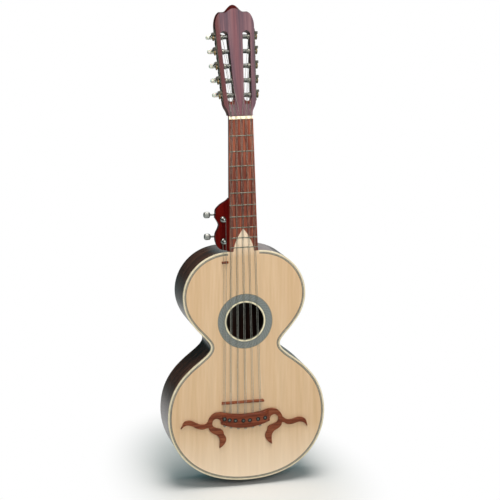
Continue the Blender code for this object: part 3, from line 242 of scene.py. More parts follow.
back = Vector((-sin(CAMERA_AZIMUTH) * cos(CAMERA_ELEVATION), -cos(CAMERA_AZIMUTH) * cos(CAMERA_ELEVATION),
               sin(CAMERA_ELEVATION)))
level = Vector((0, 0, 1)).cross(back).normalized()
upright = back.cross(level)
right = level * cos(CAMERA_ROLL) + upright * sin(CAMERA_ROLL)
up = upright * cos(CAMERA_ROLL) - level * sin(CAMERA_ROLL)
camera = link(bpy.data.objects.new("camera", bpy.data.cameras.new("camera")))
camera.data.lens = CAMERA_LENS
camera.data.clip_end = 100
camera.matrix_world = Matrix.Translation(CAMERA_AIM + back * CAMERA_DISTANCE) @ \
    Matrix((right, up, back)).transposed().to_4x4()
bpy.context.scene.camera = camera
bpy.context.scene.view_settings.view_transform = "Standard"

# The soundboard: two halves of close-grained spruce, joined down the middle and lacquered to a low sheen,
# with a pointed tongue that runs up into the end of the fingerboard. The rosette's bed is cut into it.
HOLE_CENTRE = Vector((0, -370 * MM))
HOLE_RADIUS = 34 * MM
RING_WIDTH = 4 * MM
ROSETTE_RADIUS = 51 * MM
ROSETTE_DEPTH = 1.4 * MM
BED_SIDES = 120
TONGUE_LENGTH = 41.5 * MM
TONGUE_HALF = 19 * MM
JOINT_FLAT = 28 * MM
UPPER_HALF = 114.25 * MM
UPPER_AT = 82 * MM
WAIST_HALF = 64.5 * MM
WAIST_AT = 175 * MM
LOWER_AT = 308 * MM
SHOULDER_FLATNESS = 51.5 * MM
SHOULDER_RISE = 41.4 * MM
UPPER_FALL = 51.5 * MM
WAIST_ABOVE = 16.4 * MM
WAIST_BELOW = 25.6 * MM
LOWER_RISE = 92.1 * MM
LOWER_FALL = 54 * MM
TAIL_FLATNESS = 107.7 * MM
BINDING_WIDTH = 3 * MM
PURFLING_WIDTH = 3 * MM
TAB_HALF = 29 * MM
TOP_THICKNESS = 3.2 * MM
HAIR = 0.05 * MM
RING_SPACING = 2.6 * MM
body_low, body_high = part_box("back_plate")
BODY_TOP = body_high.z
BODY_BOTTOM = body_low.z
LOWER_HALF = body_high.x
BODY_DEPTH = body_high.y


def new_finish(name, source="Object"):
    """A new material, its node tree, its shader and the place that its pattern is read from."""
    material = bpy.data.materials.new(name)
    material.use_nodes = True
    tree = material.node_tree
    return material, tree, tree.nodes["Principled BSDF"], coordinates(tree, source)


def bezier(start, start_handle, end_handle, end, steps):
    """Points on a Bezier curve, without its last one."""
    knots = [Vector((x, 0, z)) for x, z in (start, start_handle, end_handle, end)]
    return [(p.x, p.z) for p in interpolate_bezier(*knots, steps + 1)][:-1]


def half_outline(inset=0.0):
    """The right half of the body's outline, from the neck joint to the tail, moved in by inset."""
    upper = (UPPER_HALF, BODY_TOP - UPPER_AT)
    waist = (WAIST_HALF, BODY_TOP - WAIST_AT)
    lower = (LOWER_HALF, BODY_TOP - LOWER_AT)
    points = [(0, BODY_TOP), (JOINT_FLAT / 2, BODY_TOP)]
    points += bezier((JOINT_FLAT, BODY_TOP), (JOINT_FLAT + SHOULDER_FLATNESS, BODY_TOP),
                     (upper[0], upper[1] + SHOULDER_RISE), upper, 36)
    points += bezier(upper, (upper[0], upper[1] - UPPER_FALL), (waist[0], waist[1] + WAIST_ABOVE), waist, 30)
    points += bezier(waist, (waist[0], waist[1] - WAIST_BELOW), (lower[0], lower[1] + LOWER_RISE), lower, 40)
    points += bezier(lower, (lower[0], lower[1] - LOWER_FALL), (TAIL_FLATNESS, BODY_BOTTOM), (0, BODY_BOTTOM),
                     44)
    points.append((0, BODY_BOTTOM))
    moved = []
    for i, (x, z) in enumerate(points):
        before = points[max(i - 1, 0)]
        after = points[min(i + 1, len(points) - 1)]
        along = Vector((after[0] - before[0], after[1] - before[1])).normalized()
        if i == 0:
            along = Vector((1, 0))
        if i == len(points) - 1:
            along = Vector((-1, 0))
        moved.append((x + along.y * inset, z - along.x * inset))
    return moved


def outline_from(inset, start):
    """The inset half outline, cut off at x = start beside the neck."""
    points = half_outline(inset)
    kept = []
    for i, (x, z) in enumerate(points):
        if i < len(points) // 2 and x <= start:
            x1, z1 = points[i + 1]
            if x1 > start:
                kept.append((start, z + (start - x) / (x1 - x) * (z1 - z)))
        else:
            kept.append((x, z))
    return kept


def both_sides(right_half):
    """A closed outline from its right half."""
    return right_half + [(-x, z) for x, z in reversed(right_half) if abs(x) > 1e-6]


def circle(radius, sides, centre=(0, 0)):
    angles = [2 * pi * i / sides for i in range(sides)]
    return [(centre[0] + radius * cos(a), centre[1] + radius * sin(a)) for a in angles]


def add_plate(bm, rings, holes=()):
    """A plate over edge loops, from front to back. A ring is (loop, depth), and holes go straight through."""
    ends = ([], [])
    front, behind = rings[0][1], rings[-1][1]
    for loops in [rings] + [[(hole, front), (hole, behind)] for hole in holes]:
        rows = [[bm.verts.new((x, depth, z)) for x, z in loop] for loop, depth in loops]
        for row, following in zip(rows, rows[1:]):
            for i in range(len(row)):
                bm.faces.new((row[i - 1], row[i], following[i], following[i - 1]))
        ends[0].append(rows[0])
        ends[1].append(rows[-1])
    for rows in ends:
        edges = [bm.edges.get((row[i - 1], row[i])) for row in rows for i in range(len(row))]
        bmesh.ops.triangle_fill(bm, use_beauty=True, edges=edges)


def add_slab(bm, loop, front, behind, holes=()):
    """A plate with straight sides."""
    add_plate(bm, [(loop, front), (loop, behind)], holes)


def as_object(name, bm, finishes=()):
    """A linked object made of a bmesh, with its faces turned outwards."""
    bmesh.ops.recalc_face_normals(bm, faces=bm.faces[:])
    mesh = bpy.data.meshes.new(name)
    bm.to_mesh(mesh)
    bm.free()
    for finish in finishes:
        mesh.materials.append(finish)
    return link(bpy.data.objects.new(name, mesh))


def make_piece(name, bm, finishes, stands_for=(), body="instrument", bevel=0.0, sharp=35, place=None):
    """Makes a piece that rides on a body. Its edges are eased by bevel, or kept sharp past an angle."""
    if place is not None:
        bmesh.ops.transform(bm, matrix=place, verts=bm.verts)
    piece = as_object(name, bm, finishes)
    mesh = piece.data
    if "custom_normal" in mesh.attributes:
        mesh.attributes.remove(mesh.attributes["custom_normal"])
    mesh.shade_smooth()
    if bevel:
        edge = piece.modifiers.new("eased edges", "BEVEL")
        edge.width = bevel
        edge.segments = 3
        edge.limit_method = "ANGLE"
        edge.angle_limit = radians(30)
        edge.harden_normals = True
    else:
        mesh.set_sharp_from_angle(angle=radians(sharp))
    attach(piece, body)
    if stands_for:
        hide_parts(*stands_for)
    return piece


# Growth rings a little over a millimetre apart would vanish at this size, so they are drawn twice as wide.
spruce, tree, shader, where = new_finish("satin lacquered spruce")
along = apart(tree, where)
matched = joined(tree, maths(tree, "ABSOLUTE", along["X"]), along["Y"], along["Z"])
drawn = mapped(tree, matched, Scale=(1, 1, 0.06))
sway = noise(tree, drawn, 28.0, 2.0)
rings = add(tree, "ShaderNodeTexWave", {"Vector": drawn, "Scale": pi / (10 * RING_SPACING), "Distortion": 2.2,
                                        "Detail": 2.0, "Detail Scale": 0.6}, wave_profile="SAW")["Fac"]
streaks = noise(tree, drawn, 150.0, 3.0, roughness=0.6)
lines = ramp(tree, rings, (0.0, "#FFFFFF"), (0.75, "#FBF5EC"), (1.0, "#F0E2CE"))
body_tone = ramp(tree, streaks, (0.25, "#D1B592"), (0.5, "#D8BC9A"), (0.75, "#DEC4A4"))
aged = ramp(tree, sway, (0.3, "#F6EFE4"), (0.7, "#FFFFFF"))
grained = mixed(tree, 1.0, body_tone, lines, "MULTIPLY")
toned = mixed(tree, 1.0, grained, aged, "MULTIPLY")
sheen = ranged(tree, streaks, low=0.38, high=0.5)
relief = bump(tree, rings, 0.12, 0.1 * MM)
# The foot of the board is painted paler, as painted light thrown up from the floor; the tongue at the neck
# end is drawn paler too.
foot = ranged(tree, along["Z"], start=-0.57, end=-0.665, high=0.45)
neck_end = ranged(tree, along["Z"], start=-0.25, end=-0.225, high=0.5)
painted_light_and_pale_neck_end = maths(tree, "MAXIMUM", foot, neck_end)
paler = mixed(tree, painted_light_and_pale_neck_end, toned, linear("#FFF0DA"))
feed(tree, shader, {"Base Color": paler, "Roughness": sheen, "Normal": relief, "Coat Weight": 0.1,
                    "Coat Roughness": 0.25})

tongue_tip = BODY_TOP + TONGUE_LENGTH
tongue = bezier((0, tongue_tip), (TONGUE_HALF * 0.25, tongue_tip - TONGUE_LENGTH * 0.12),
                (TONGUE_HALF * 0.95, BODY_TOP + TONGUE_LENGTH * 0.4), (TONGUE_HALF, BODY_TOP), 24)
right_half = tongue + [(TONGUE_HALF, BODY_TOP), (TAB_HALF, BODY_TOP)]
right_half += outline_from(BINDING_WIDTH + PURFLING_WIDTH + HAIR, TAB_HALF)
bed, hole = [circle(radius, BED_SIDES, HOLE_CENTRE)
             for radius in (ROSETTE_RADIUS + HAIR, HOLE_RADIUS + RING_WIDTH)]
bm = bmesh.new()
add_slab(bm, both_sides(right_half), 0, TOP_THICKNESS, [bed])
add_slab(bm, bed, ROSETTE_DEPTH, TOP_THICKNESS, [hole])
make_piece("spruce_soundboard", bm, [spruce], ["soundboard"])

# The edge binding: a bent strip of pale maple let into the corner between soundboard and ribs. Its outer
# corner is scraped round, and it stops square on both sides of the neck.


def add_band(bm, profile, start, finish=0):
    """Sweeps a profile of (inset, depth) points round the outline, from one side of the neck to the other."""
    courses = []
    for inset, depth in profile:
        half = outline_from(inset, start)
        full = half + [(-x, z) for x, z in reversed(half[:-1])]
        courses.append([bm.verts.new((x, depth, z)) for x, z in full])
    shortest = min(len(course) for course in courses)
    made = []
    for i in range(len(profile)):
        first, second = courses[i - 1], courses[i]
        for j in range(shortest - 1):
            made.append(bm.faces.new((first[j], first[j + 1], second[j + 1], second[j])))
    made.append(bm.faces.new([course[0] for course in courses]))
    made.append(bm.faces.new([course[shortest - 1] for course in reversed(courses)]))
    for face in made:
        face.material_index = finish


maple, tree, shader, where = new_finish("scraped maple binding")
cloud = noise(tree, where, 60.0, 4.0)
tone = ramp(tree, cloud, (0.3, "#CDBF9E"), (0.7, "#DED2B6"))
flecks = noise(tree, where, 900.0, 2.0)
relief = bump(tree, flecks, 0.1, 0.1 * MM)
sheen = ranged(tree, flecks, low=0.3, high=0.45)
feed(tree, shader, {"Base Color": tone, "Roughness": sheen, "Normal": relief})

EDGE_ROUND = 0.8 * MM
profile = [(BINDING_WIDTH, TOP_THICKNESS), (BINDING_WIDTH, -HAIR), (EDGE_ROUND, -HAIR)]
profile += [(EDGE_ROUND * (1 - sin(a)), EDGE_ROUND * (1 - cos(a)) - HAIR)
            for a in (pi / 8, pi / 4, 3 * pi / 8)]
profile += [(0, EDGE_ROUND), (0, TOP_THICKNESS)]
bm = bmesh.new()
add_band(bm, profile, TAB_HALF)
make_piece("maple_binding", bm, [maple], ["edge_binding"])

# The purfling: three thin veneers glued side by side, dyed black, plain and dyed black, inlaid just inside
# the binding and scraped level with the soundboard.
DYED_WIDTH = 1.2 * MM
PURFLING_DEPTH = 1.5 * MM

dyed, tree, shader, where = new_finish("dyed pearwood veneer")
cloud = noise(tree, where, 120.0, 4.0)
tone = ramp(tree, cloud, (0.3, "#20282A"), (0.7, "#36424A"))
sheen = ranged(tree, cloud, low=0.35, high=0.5)
feed(tree, shader, {"Base Color": tone, "Roughness": sheen})

bm = bmesh.new()
outer = BINDING_WIDTH
inner = BINDING_WIDTH + PURFLING_WIDTH
for near, far, finish in ((outer, outer + DYED_WIDTH, 0), (outer + DYED_WIDTH, inner - DYED_WIDTH, 1),
                          (inner - DYED_WIDTH, inner, 0)):
    add_band(bm, [(near, PURFLING_DEPTH), (near, -HAIR), (far, -HAIR), (far, PURFLING_DEPTH)], TAB_HALF,
             finish)
make_piece("purfling_lines", bm, [dyed, maple], ["purfling"])

# The rosette: a ring of grey-green mosaic between dark lines, let into the soundboard, and inside it a pale
# ring. The dark line at the edge of the hole is painted shade, standing for the hole's wall in shadow. The
# tiles are cut from dyed end grain.
TILE_COUNT = 96
TILE_ROWS = 13.0
ROSETTE_SIDES = 144

mosaic, tree, shader, where = new_finish("dyed wood mosaic")
centred = mapped(tree, where, Location=(0, 0, -HOLE_CENTRE.y))
along = apart(tree, centred)
radius = length(tree, joined(tree, along["X"], z=along["Z"]))
angle = maths(tree, "ARCTAN2", along["Z"], along["X"])
place = ranged(tree, radius, start=HOLE_RADIUS, end=ROSETTE_RADIUS)
slant = maths(tree, "MULTIPLY_ADD", place, 5.0, 0.0)
turned = maths(tree, "MULTIPLY_ADD", angle, TILE_COUNT / (2 * pi), slant)
tile = maths(tree, "PINGPONG", turned, 1.0)
rows = maths(tree, "MULTIPLY", place, TILE_ROWS)
row = maths(tree, "PINGPONG", rows, 1.0)
weave = maths(tree, "MULTIPLY", tile, row)
woven = ramp(tree, weave, (0.1, "#7C817E"), (0.35, "#6B716E"), (0.7, "#575D5B"))
# The first stops draw the dark line at the hole's edge: painted shade of the hole's wall.
lines = ramp(tree, place, (0.0, "#34342C"), (0.05, "#34342C"), (0.07, "#E2D8B6"), (0.22, "#E2D8B6"),
             (0.235, "#555C59"), (0.285, "#6B7370"), (0.9, "#6B7370"), (0.93, "#9DA093"), (0.955, "#4A514E"),
             (1.0, "#4A514E"))
inside_band = maths(tree, "COMPARE", place, 0.62, 0.27)
tone = mixed(tree, inside_band, lines, woven)
relief = bump(tree, weave, 0.15, 0.1 * MM)
sheen = ranged(tree, weave, low=0.35, high=0.5)
feed(tree, shader, {"Base Color": tone, "Roughness": sheen, "Normal": relief})

rim, step, hole = [circle(radius, ROSETTE_SIDES, HOLE_CENTRE)
                   for radius in (ROSETTE_RADIUS, HOLE_RADIUS + RING_WIDTH, HOLE_RADIUS)]
bm = bmesh.new()
add_slab(bm, rim, -HAIR, ROSETTE_DEPTH, [step])
add_slab(bm, step, -HAIR, TOP_THICKNESS, [hole])
make_piece("mosaic_rosette", bm, [mosaic], ["rosette"])

# The ribs: two thin strips of dark rosewood, bent over a hot iron, that meet at the tail and run into slots
# beside the heel. They are french polished, so their edges catch the light.
RIB_THICKNESS = 2.3 * MM
BACK_THICKNESS = 3 * MM
HEEL_CORE = 12 * MM


def wood(name, tones, streak, pore, gloss, turn=(0, 0, 0), coat=0.0, source="Object", shine=0.22):
    """A planed wood with its grain along Z once turned: streaks of colour, dark pores, a polished face."""
    material, tree, shader, where = new_finish(name, source)
    turned = mapped(tree, where, Rotation=turn)
    long = mapped(tree, turned, Scale=(1 / streak, 1 / streak, 0.045 / streak))
    figure = noise(tree, long, 1.0, 5.0, roughness=0.62, distortion=0.7)
    tone = ramp(tree, figure, (0.3, tones[0]), (0.5, tones[1]), (0.68, tones[2]))
    fine = mapped(tree, turned, Scale=(1 / pore, 1 / pore, 0.04 / pore))
    pores = noise(tree, fine, 1.0, 2.0)
    specks = ramp(tree, pores, (0.32, "#9A8C84"), (0.48, "#FFFFFF"))
    marked = mixed(tree, 0.7, tone, specks, "MULTIPLY")
    sheen = ranged(tree, pores, start=0.3, end=0.6, low=gloss + 0.12, high=gloss)
    relief = bump(tree, pores, 0.15, 0.1 * MM)
    feed(tree, shader, {"Base Color": marked, "Roughness": sheen, "Normal": relief, "Coat Weight": coat,
                        "Coat Roughness": 0.12, "Specular IOR Level": shine})
    return material


# The rib's grain follows its bend, so the pattern is laid by a map of the strip unrolled, in metres.
rosewood = wood("french polished rosewood", ("#221713", "#442B21", "#644434"), 7 * MM, 1.2 * MM, 0.24,
                turn=(0, pi / 2, 0), coat=0.25, source="UV", shine=0.05)

for side, word in ((-1, "bass"), (1, "treble")):
    outside = [p for p in half_outline() if p[0] >= HEEL_CORE or p[1] < BODY_TOP - WAIST_AT]
    inside = half_outline(RIB_THICKNESS)[-len(outside):]
    bm = bmesh.new()
    unrolled = bm.loops.layers.uv.new("unrolled")
    rings, reach = [], 0.0
    for i, (x, z) in enumerate(outside):
        reach += (Vector((x, z)) - Vector(outside[max(i - 1, 0)])).length
        ring = []
        for px, depth, pz in ((x, TOP_THICKNESS + HAIR, z), (x, BODY_DEPTH - BACK_THICKNESS - HAIR, z),
                              (inside[i][0], BODY_DEPTH - BACK_THICKNESS - HAIR, inside[i][1]),
                              (inside[i][0], TOP_THICKNESS + HAIR, inside[i][1])):
            ring.append((bm.verts.new((side * px, depth, pz)), (reach, depth)))
        rings.append(ring)
    for ring, following in zip(rings, rings[1:]):
        for i in range(4):
            corners = (ring[i - 1], ring[i], following[i], following[i - 1])
            face = bm.faces.new([corner[0] for corner in corners])
            for loop, corner in zip(face.loops, corners):
                loop[unrolled].uv = corner[1]
    bm.faces.new([corner[0] for corner in rings[0]])
    bm.faces.new([corner[0] for corner in reversed(rings[-1])])
    make_piece(f"rosewood_rib_{word}", bm, [rosewood], [f"rib_{word}"])

# The kerfed linings: strips of soft wood sawn almost through every few millimetres so that they bend. They
# glue the ribs to the soundboard and to the back.
KERF_SPACING = 7 * MM
KERF = 1 * MM
LINING_WIDTH = 5 * MM
LINING_DEPTH = 13 * MM
LINING_FROM = 34 * MM

raw_wood = wood("planed raw cedar", ("#A07C52", "#B8925F", "#C9A878"), 8 * MM, 1.4 * MM, 0.6)


def new_tree(name, inputs):
    """A new geometry tree with named inputs, given as (name, kind) pairs, and one geometry output."""
    tree = bpy.data.node_groups.new(name, "GeometryNodeTree")
    for label, kind in inputs:
        tree.interface.new_socket(label, in_out="INPUT", socket_type="NodeSocket" + kind)
    tree.interface.new_socket("Geometry", in_out="OUTPUT", socket_type="NodeSocketGeometry")
    return tree, add(tree, "NodeGroupInput")


def finish_tree(tree, shape, finish, points=None, **setting):
    """Ends a geometry tree with a shape in a finish, set at points where they are given."""
    if points is not None:
        shape = add(tree, "GeometryNodeInstanceOnPoints", {"Points": points, "Instance": shape, **setting})[0]
    real = add(tree, "GeometryNodeRealizeInstances", {"Geometry": shape})[0]
    coloured = add(tree, "GeometryNodeSetMaterial", {"Geometry": real, "Material": finish})[0]
    add(tree, "NodeGroupOutput", {"Geometry": coloured})
    return tree


def settled(thing):
    """An object's shape with its modifiers applied, as a bmesh. The object is removed."""
    made = bpy.data.meshes.new_from_object(thing.evaluated_get(bpy.context.evaluated_depsgraph_get()))
    bpy.data.objects.remove(thing)
    bm = bmesh.new()
    bm.from_mesh(made)
    return bm


def grow(tree, seed_mesh, values):
    """Runs a geometry tree on a mesh with the named values, and returns what it makes as a bmesh."""
    holder = link(bpy.data.objects.new("holder", seed_mesh))
    step = holder.modifiers.new("growth", "NODES")
    step.node_group = tree
    for item in tree.interface.items_tree:
        if item.in_out == "INPUT" and item.name in values:
            step[item.identifier] = values[item.name]
    return settled(holder)


tree, given = new_tree("kerfed lining", [("Geometry", "Geometry"), ("Spacing", "Float"), ("Block", "Vector"),
                                         ("Finish", "Material")])
track = add(tree, "GeometryNodeMeshToCurve", {"Mesh": given["Geometry"]})[0]
marks = add(tree, "GeometryNodeCurveToPoints", {"Curve": track, "Length": given["Spacing"]}, mode="LENGTH")
block = add(tree, "GeometryNodeMeshCube", {"Size": given["Block"]})[0]
finish_tree(tree, block, given["Finish"], marks["Points"], Rotation=marks["Rotation"])

for word, depth in (("front", TOP_THICKNESS + LINING_DEPTH / 2 + HAIR),
                    ("back", BODY_DEPTH - BACK_THICKNESS - LINING_DEPTH / 2 - HAIR)):
    bm = bmesh.new()
    for side in (-1, 1):
        half = half_outline(RIB_THICKNESS + LINING_WIDTH / 2 + HAIR)
        track = [(side * x, depth, z) for x, z in half if x > LINING_FROM]
        path = bpy.data.meshes.new("path")
        path.from_pydata(track, [(i, i + 1) for i in range(len(track) - 1)], [])
        strip = grow(tree, path, {
            "Block": (LINING_DEPTH, LINING_WIDTH, KERF_SPACING - KERF), "Spacing": KERF_SPACING,
            "Finish": raw_wood})
        strip_mesh = bpy.data.meshes.new("strip")
        strip.to_mesh(strip_mesh)
        bm.from_mesh(strip_mesh)
    make_piece(f"kerfed_lining_{word}", bm, [raw_wood])

# The back: two bookmatched halves of the ribs' rosewood with a thin pale strip between them, its edge eased
# and polished like the ribs.
SEAM_HALF = 1.2 * MM
BACK_EDGE = 0.6 * MM


def box_loop(half, top, bottom):
    """An upright rectangle about the centre line."""
    return [(-half, top), (half, top), (half, bottom), (-half, bottom)]


back_wood = wood("bookmatched rosewood", ("#160F0D", "#2B1C17", "#432B23"), 9 * MM, 1.2 * MM, 0.22,
                 shine=0.12)
bm = bmesh.new()
outline = both_sides(half_outline())
eased = both_sides(half_outline(BACK_EDGE))
add_plate(bm, [(outline, BODY_DEPTH - BACK_THICKNESS), (outline, BODY_DEPTH - BACK_EDGE),
               (eased, BODY_DEPTH)])
make_piece("rosewood_back", bm, [back_wood], ["back_plate"], sharp=60)
bm = bmesh.new()
add_slab(bm, box_loop(SEAM_HALF, BODY_TOP - BACK_EDGE, BODY_BOTTOM + BACK_EDGE), BODY_DEPTH - MM,
         BODY_DEPTH + HAIR)
make_piece("back_seam_strip", bm, [maple])

# Inside: cross bars under the soundboard and on the back, and the block at the tail. They are planed and left
# bare.
for name in ("soundboard_bar_1", "soundboard_bar_2", "back_bar_1", "back_bar_2", "tail_block"):
    for holder in frame["nodes"][name].material_slots:
        holder.material = raw_wood

# The neck: one length of red-brown cedrela, rounded behind, swept down into the heel, with a foot inside the
# body. It is sanded smooth and varnished.
NUT_HALF = 22 * MM
NECK_END_HALF = 26.5 * MM
NECK_DEPTH_AT_NUT = 20.5 * MM
NECK_DEPTH_AT_BODY = 23 * MM
HEEL_SWEEP = 38 * MM
NUT_THICKNESS = 5 * MM
NECK_FRONT = TOP_THICKNESS + HAIR
FOOT_DROP = 3 * MM
GLUE = 0.3 * MM

neck_wood = wood("varnished cedrela", ("#4C1D15", "#66291C", "#7E3A28"), 8 * MM, 1 * MM, 0.28, shine=0.1)


def neck_half(z):
    return NUT_HALF + (NECK_END_HALF - NUT_HALF) * min(max(z / BODY_TOP, 0.0), 1.0)


def add_skin(bm, rings, finish=0):
    """A closed skin over rings of points, flat at both ends."""
    rows = [[bm.verts.new(point) for point in ring] for ring in rings]
    made = []
    for row, following in zip(rows, rows[1:]):
        for i in range(len(row)):
            made.append(bm.faces.new((row[i - 1], row[i], following[i], following[i - 1])))
    for face in made + [bm.faces.new(rows[0]), bm.faces.new(rows[-1])]:
        face.material_index = finish


def signed_power(value, power):
    return abs(value) ** power * (1 if value > 0 else -1)


def neck_ring(z):
    """The neck's section at height z: flat in front, round behind, and deeper through the heel."""
    share = min(max(z / BODY_TOP, 0.0), 1.0)
    sweep = min(max((BODY_TOP + HEEL_SWEEP - z) / HEEL_SWEEP, 0.0), 1.0)
    depth = NECK_DEPTH_AT_NUT + (NECK_DEPTH_AT_BODY - NECK_DEPTH_AT_NUT) * share
    depth += (BODY_DEPTH - MM - NECK_DEPTH_AT_BODY) * (1 - sqrt(max(1 - sweep * sweep, 0.0))) - NECK_FRONT
    width = neck_half(z)
    power = 3.6 - 1.7 * sweep
    ring = []
    for i in range(29):
        angle = pi * i / 28
        ring.append((signed_power(cos(angle), 2 / power) * width,
                     NECK_FRONT + sin(angle) ** (2 / power) * depth, z))
    return ring


heel_top = BODY_TOP + HEEL_SWEEP
stations = [NUT_THICKNESS, -4 * MM, -14 * MM] + [-14 * MM + (heel_top + 14 * MM) * i / 12
                                                 for i in range(1, 13)]
stations += [heel_top - HEEL_SWEEP * sin(pi / 2 * i / 16) for i in range(1, 17)]
stations[-1] += GLUE
bm = bmesh.new()
add_skin(bm, [neck_ring(z) for z in stations])
foot_low, foot_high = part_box("neck")
add_slab(bm, box_loop(foot_high.x, BODY_TOP - FOOT_DROP, foot_low.z), TOP_THICKNESS + GLUE,
         BODY_DEPTH - BACK_THICKNESS - GLUE)
make_piece("cedrela_neck", bm, [neck_wood], ["neck"], sharp=50)

# The fingerboard: a straight-grained, streaky red-brown board laid level with the soundboard, with the
# soundboard's tongue let into its end. It is oiled.
board_wood = wood("oiled padauk", ("#441A13", "#803F2D", "#B46A4C"), 3 * MM, 0.9 * MM, 0.36, coat=0.04)
board_end = BODY_TOP + 0.1 * MM
tongue_room = [(x + HAIR if x > 0 else x, z + 2 * HAIR) for x, z in tongue]
right_half = [(0, tongue_tip + 2 * HAIR)] + tongue_room[1:] + [(TONGUE_HALF + HAIR, board_end)]
left_half = [(-x, z) for x, z in reversed(right_half[1:])]
loop = [(-NUT_HALF, -HAIR), (-neck_half(board_end), board_end)] + left_half + right_half
loop += [(neck_half(board_end), board_end), (NUT_HALF, -HAIR)]
bm = bmesh.new()
add_slab(bm, loop, 0, TOP_THICKNESS)
make_piece("padauk_fingerboard", bm, [board_wood], ["fingerboard"], bevel=0.25 * MM)

# The frets: crowned wire of nickel silver, hammered into slots cut by the rule of the twelfth root of two.
# The last two cross the tongue.
SCALE = 530 * MM
FRET_COUNT = 10
FRET_WIDTH = 2 * MM
FRET_HEIGHT = 0.9 * MM

FRET_SHORT = 0.8 * MM


def metal(name, tones, rough, grain, unevenness=0.12):
    """A worn metal: patches of tarnish, fine wear marks and a faint unevenness."""
    material, tree, shader, where = new_finish(name)
    patches = noise(tree, where, 0.35 / grain, 4.0)
    tone = ramp(tree, patches, (0.3, tones[0]), (0.7, tones[1]))
    marks = noise(tree, where, 1 / grain, 3.0)
    wear = ranged(tree, marks, start=0.3, end=0.7, low=rough - 0.07, high=rough + 0.1)
    relief = bump(tree, marks, unevenness, 0.05 * MM)
    feed(tree, shader, {"Base Color": tone, "Roughness": wear, "Normal": relief, "Metallic": 1.0})
    return material


nickel_silver = metal("nickel silver fret wire", ("#565C50", "#83877A"), 0.34, 1.2 * MM)

tree, given = new_tree("fret row", [
    ("Count", "Int"), ("Scale Length", "Float"), ("Nut Width", "Float"), ("End Width", "Float"),
    ("End Height", "Float"), ("Wire Width", "Float"), ("Crown Height", "Float"), ("Finish", "Material")])
index = add(tree, "GeometryNodeInputIndex")[0]
number = maths(tree, "ADD", index, 1.0)
octaves = maths(tree, "MULTIPLY", number, -1 / 12)
left_over = maths(tree, "POWER", 2.0, octaves)
shortened = maths(tree, "SUBTRACT", left_over, 1.0)
height = maths(tree, "MULTIPLY", shortened, given["Scale Length"])
row = add(tree, "GeometryNodeMeshLine", {"Count": given["Count"], "Offset": (0, 0, 0)})[0]
points = add(tree, "GeometryNodeSetPosition", {"Geometry": row, "Position": joined(tree, z=height)})[0]
breadth = ranged(tree, height, start=0.0, end=given["End Height"], low=given["Nut Width"],
                 high=given["End Width"])
wire = add(tree, "GeometryNodeCurvePrimitiveLine", {"Start": (-0.5, 0, 0), "End": (0.5, 0, 0)})[0]
ring = add(tree, "GeometryNodeCurvePrimitiveCircle", {"Resolution": 16, "Radius": 1.0})[0]
crown = joined(tree, given["Wire Width"], given["Crown Height"], 1.0)
section = add(tree, "GeometryNodeTransform", {"Geometry": ring, "Scale": crown})[0]
fret = add(tree, "GeometryNodeCurveToMesh", {"Curve": wire, "Profile Curve": section, "Fill Caps": True})[0]
finish_tree(tree, fret, given["Finish"], points, Scale=joined(tree, breadth, 1.0, 1.0))
bm = grow(tree, bpy.data.meshes.new("frets"), {
    "Count": FRET_COUNT, "Scale Length": SCALE, "Nut Width": 2 * NUT_HALF - FRET_SHORT,
    "End Width": 2 * NECK_END_HALF - FRET_SHORT, "End Height": BODY_TOP, "Wire Width": FRET_WIDTH / 2,
    "Crown Height": FRET_HEIGHT, "Finish": nickel_silver})
make_piece("fret_wires", bm, [nickel_silver], sharp=40)

# The nut: a block of bone, filed with a groove for each string, its top falling away towards the head.
COURSE_SPACING_NUT = 8.8 * MM
PAIR_SPACING_NUT = 2.2 * MM
STRING_AT_NUT = -1.7 * MM
NUT_FALL = 1.9 * MM
GROOVE_HALF = 0.55 * MM

bone, tree, shader, where = new_finish("polished bone")
cloud = noise(tree, where, 180.0, 4.0)
tone = ramp(tree, cloud, (0.3, "#EEE0BA"), (0.7, "#F4E9C9"))
sheen = ranged(tree, cloud, low=0.25, high=0.42)
relief = bump(tree, cloud, 0.08, 0.1 * MM)
feed(tree, shader, {"Base Color": tone, "Roughness": sheen, "Normal": relief, "Subsurface Weight": 0.1,
                    "Subsurface Scale": 1 * MM})


def pair_places(spacing, pair):
    """Where the ten long strings lie across, from the bass side."""
    centres = [(course - 2) * spacing for course in range(5)]
    return [centre + hand * pair / 2 for centre in centres for hand in (-1, 1)]


def grooved_bar(places, left, right, half_groove, profile_at):
    """Rings for a bar across the strings. profile_at(cut) is its section, cut 0 to 1 of a groove deep."""
    count = round((right - left) / (0.2 * MM))
    rings = []
    for i in range(count + 1):
        x = left + (right - left) * i / count
        near = min(abs(x - place) for place in places)
        cut = sqrt(max(1 - (near / half_groove) ** 2, 0.0))
        rings.append([(x, y, z) for y, z in profile_at(cut)])
    return rings


def nut_section(cut):
    crest = STRING_AT_NUT - 0.1 * MM + cut * 0.55 * MM
    return [(TOP_THICKNESS, 0), (crest + 0.3 * MM, 0), (crest, 0.3 * MM),
            (crest + NUT_FALL - 0.3 * MM, 4.4 * MM), (crest + NUT_FALL + 0.2 * MM, NUT_THICKNESS),
            (TOP_THICKNESS, NUT_THICKNESS)]


bm = bmesh.new()
add_skin(bm, grooved_bar(pair_places(COURSE_SPACING_NUT, PAIR_SPACING_NUT), -NUT_HALF, NUT_HALF,
                         GROOVE_HALF, nut_section))
make_piece("bone_nut", bm, [bone], ["nut"])
